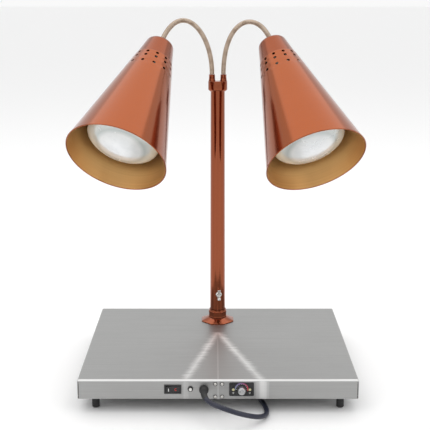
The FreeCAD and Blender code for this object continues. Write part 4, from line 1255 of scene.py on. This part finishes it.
def make_rocker():
    """Rocker key with a shallow valley, softened edges, a white bar and a red ring."""
    joint = next(j for j in frame["joints"] if j["name"] == "rocker_tilt")
    pivot = Vector(joint["pos_m"])
    tilt = Matrix.Rotation(math.radians(8.0), 4, "Z")
    place = Matrix.Translation(pivot) @ tilt
    half, height = 12.3, 6.1
    outline = []
    steps = 16
    for k in range(steps + 1):
        x = -half + 2 * half * k / steps
        outline.append((x, -3.45 - 1.1 * (abs(x) / half) ** 1.4))
    outline += [(half, 5.4), (-half, 5.4)]
    outline = [(x * MM, y * MM) for x, y in outline]
    key = prism("rocker_key_cap", outline, -height * MM, height * MM, place)
    key = bevelled(key, 0.5 * MM, angle=50)
    dress(key, "rocker", gloss_black, "black_plastic", "rocker_key")
    lie = Matrix(((1, 0, 0, 0), (0, 0, -1, 0), (0, 1, 0, 0), (0, 0, 0, 1)))
    left = place @ Matrix.Translation((-8.2 * MM, -4.05 * MM, 0)) @ Matrix.Rotation(-0.06, 4, "Z") @ lie
    bar = prism("rocker_on_bar", rounded_rectangle(1.1 * MM, 5.4 * MM, 0.4 * MM, 3), -0.05 * MM, 0.12 * MM,
                left)
    dress(bar, "rocker", mark_white, "black_plastic")
    right = place @ Matrix.Translation((5.2 * MM, -3.80 * MM, 0)) @ Matrix.Rotation(0.06, 4, "Z") @ lie
    ring_outline = [(1.5 * MM, -0.05 * MM), (2.4 * MM, -0.05 * MM), (2.4 * MM, 0.12 * MM),
                    (1.5 * MM, 0.12 * MM),
                    (1.5 * MM, -0.05 * MM)]
    ring = spun("rocker_off_ring", ring_outline, right, segments=40)
    dress(ring, "rocker", mark_red, "black_plastic")


def make_panel_screws():
    """Pan-head screws with a cross recess."""
    nodes_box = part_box("panel_screws")
    mid = centre("panel_screws")
    reach_x = (nodes_box[1][0] - nodes_box[0][0]) / 2 - 3.7 * MM
    reach_z = (nodes_box[1][2] - nodes_box[0][2]) / 2 - 3.7 * MM
    pieces, rings = [], []
    for sx in (-1, 1):
        for sz in (-1, 1):
            place = on_face(mid.x + sx * reach_x, mid.z + sz * reach_z)
            outline = [(0, -6.0), (1.7, -6.0), (1.7, 0), (3.0, 0), (3.0, 1.1), (2.7, 1.7), (2.1, 2.05),
                       (1.2, 2.2),
                       (0, 2.25)]
            head = spun("screw_head", [(r * MM, h * MM) for r, h in outline], place, segments=48)
            turn = Matrix.Rotation(random.uniform(0, 1.5), 4, "Z")
            cross = []
            for quarter in (0, math.pi / 2):
                blade = prism("cross", rounded_rectangle(3.4 * MM, 0.75 * MM, 0.15 * MM, 2), 1.0 * MM,
                              3.0 * MM,
                              place @ turn @ Matrix.Rotation(quarter, 4, "Z"))
                cross.append(blade)
            for blade in cross:
                cut = head.modifiers.new("recess", "BOOLEAN")
                cut.object = blade
                cut.solver = "EXACT"
            baked(head)
            for blade in cross:
                bpy.data.objects.remove(blade)
            pieces.append(head)
            washer = [(2.6, -0.05), (3.7, -0.05), (3.7, 0.9), (3.3, 1.3), (2.6, 1.3), (2.6, -0.05)]
            ring = spun("screw_washer", [(r * MM, h * MM) for r, h in washer], place, segments=40)
            rings.append(ring)
    washers = joined("panel_screw_washers", rings)
    dress(washers, "base", black_rubber, "zinc_screw")
    screws = joined("panel_screw_heads", pieces)
    dress(screws, "base", bright_plate, "zinc_screw", "panel_screws")


def make_corner_seams():
    """Folded corner seams of the pan: a narrow lapped strip with a notch near each end, drawn as dark strips
    of painted shade where the seam's gap is shaded.
    """
    low, high = pan_low[2], pan_high[2]
    strips = []
    for sign in (-1, 1):
        x = sign * (pan_high[0] - 2.1 * MM)
        for z0, z1 in ((low + 1.0 * MM, low + 5.5 * MM), (low + 6.4 * MM, high - 7.4 * MM),
                       (high - 6.5 * MM, high - 4.6 * MM)):
            outline = rounded_rectangle(1.6 * MM, z1 - z0, 0.35 * MM, 3)
            strips.append(prism("seam", outline, -0.1 * MM, 0.35 * MM, on_face(x, (z0 + z1) / 2)))
    # the dark strips are painted shade in the seams
    seam_shade_strips = joined("corner_seams", strips)
    dress(seam_shade_strips, "base", seam_shadow, "stainless")


# ------------------------------------------------------------------ carried-over CAD nodes
CAD_FINISH = {
    "bottom_plate": brushed_face, "bottom_plate_screws": bright_plate, "rubber_feet": black_rubber,
    "foot_studs": zinc_plate, "foot_nuts": zinc_plate, "heat_spreader": satin_aluminium,
    "heater_mat": silicone_mat, "insulation_blanket": felt, "rocker_switch_case": black_plastic,
    "breaker_case": black_plastic, "breaker_nut": black_plastic, "breaker_button": white_plastic,
    "gland_nut": black_plastic, "panel_bracket": zinc_plate, "terminal_block": white_plastic,
    "thermostat_plate": plate_enamel, "thermostat_body": black_plastic, "thermostat_knob": satin_aluminium,
    "pilot_lights": lens_material, "inner_mast": zinc_plate, "mast_nut": zinc_plate, "guide_bush": nylon,
    "plug_blades": plain_brass, "top_pan": steel_with_painted_streaks,
    "left_lamp_nut": zinc_plate, "right_lamp_nut": zinc_plate, "left_lamp_socket": porcelain,
    "right_lamp_socket": porcelain, "left_bulb_base": plain_brass, "right_bulb_base": plain_brass,
}


def finish_cad_nodes():
    for name, finish in CAD_FINISH.items():
        shown = frame["nodes"][name]
        shown.data.materials.clear()
        shown.data.materials.append(finish)


# ------------------------------------------------------------------ studio
def area_light(name, place, aim, size, power, colour=(1, 1, 1)):
    lamp = bpy.data.lights.new(name, "AREA")
    lamp.shape = "RECTANGLE"
    lamp.size, lamp.size_y = size
    lamp.energy = power
    lamp.color = colour
    lit = bpy.data.objects.new(name, lamp)
    lit.location = place
    lit.rotation_euler = (Vector(aim) - Vector(place)).to_track_quat("-Z", "Y").to_euler()
    bpy.context.scene.collection.objects.link(lit)


def make_world():
    """Bright even room with darker gaps between its panels, which polished metal shows."""
    world = bpy.data.worlds.new("studio")
    world.use_nodes = True
    tree = world.node_tree
    ground = tree.nodes["Background"]
    coords = tree.nodes.new("ShaderNodeTexCoord")
    split = node(tree, "SeparateXYZ", Vector=coords.outputs["Generated"])
    turn = node(tree, "Math", {"operation": "ARCTAN2"}, i0=split.outputs[0], i1=split.outputs[1])
    across = node(tree, "MapRange", Value=turn.outputs[0], From_Min=-math.pi, From_Max=math.pi)
    panels = tree.nodes.new("ShaderNodeValToRGB")
    tree.links.new(across.outputs[0], panels.inputs[0])
    ramp = panels.color_ramp
    ramp.interpolation = "LINEAR"
    ramp.elements.remove(ramp.elements[0])
    for k, (at, level) in enumerate(ROOM_PANELS):
        stop = ramp.elements[0] if k == 0 else ramp.elements.new(at)
        stop.position = at
        stop.color = (level, level, level, 1)
    height = node(tree, "MapRange", Value=split.outputs[2], From_Min=0.35, From_Max=0.75)
    mix = tree.nodes.new("ShaderNodeMix")
    tree.links.new(height.outputs[0], mix.inputs[0])
    tree.links.new(panels.outputs[0], mix.inputs[2])
    mix.inputs[3].default_value = ROOM_CEILING
    tree.links.new(mix.outputs[0], ground.inputs["Strength"])
    ground.inputs["Color"].default_value = (1, 1, 1, 1)
    bpy.context.scene.world = world


# (share of the way round from straight ahead of the object, brightness)
ROOM_CEILING = 1.0
ROOM_PANELS = [
    (0.0, 0.95), (0.045, 0.95), (0.06, 0.18), (0.085, 0.18), (0.10, 1.0), (0.20, 1.05), (0.215, 0.3), (0.25,
                                                                                                       0.3),
    (0.265, 0.95), (0.5, 0.95), (0.735, 0.95), (0.75, 0.3), (0.785, 0.3), (0.80, 1.05), (0.90, 1.0), (0.915,
                                                                                                      0.18),
    (0.94, 0.18), (0.955, 0.95), (1.0, 0.95),
]


def make_studio():
    floor_mesh = bpy.data.meshes.new("floor")
    reach = 90.0
    floor_mesh.from_pydata([(-reach, -reach, 0), (reach, -reach, 0), (reach, reach, 0), (-reach, reach, 0)],
                           [],
                           [(0, 1, 2, 3)])
    floor = link("floor", floor_mesh)
    floor.location.z = -0.0004
    paint, _, shader = new_material("pale floor", Roughness=0.7)
    shader.inputs["Base Color"].default_value = (0.93, 0.93, 0.93, 1)
    floor.data.materials.append(paint)
    make_world()
    area_light("key", (-2.2, -2.4, 2.4), (0, 0, 0.3), (3.0, 2.6), 16)
    area_light("fill", (2.4, -2.0, 1.8), (0, 0, 0.3), (2.4, 2.4), 10)
    area_light("top", (0, 0.6, 3.2), (0, 0, 0.2), (5.0, 3.4), 34)
    bpy.context.scene.view_settings.view_transform = "Standard"


# ------------------------------------------------------------------ build
make_camera()
make_all_cord()
make_studio()
finish_cad_nodes()
make_corner_seams()
make_post()
make_yoke()
make_wing_screw()
for lamp_side in SIDES:
    make_shade(lamp_side)
    make_cap(lamp_side)
    make_fitting(lamp_side)
    make_bulb(lamp_side)
    make_gooseneck(lamp_side)
make_dial()
make_rocker()
make_panel_screws()
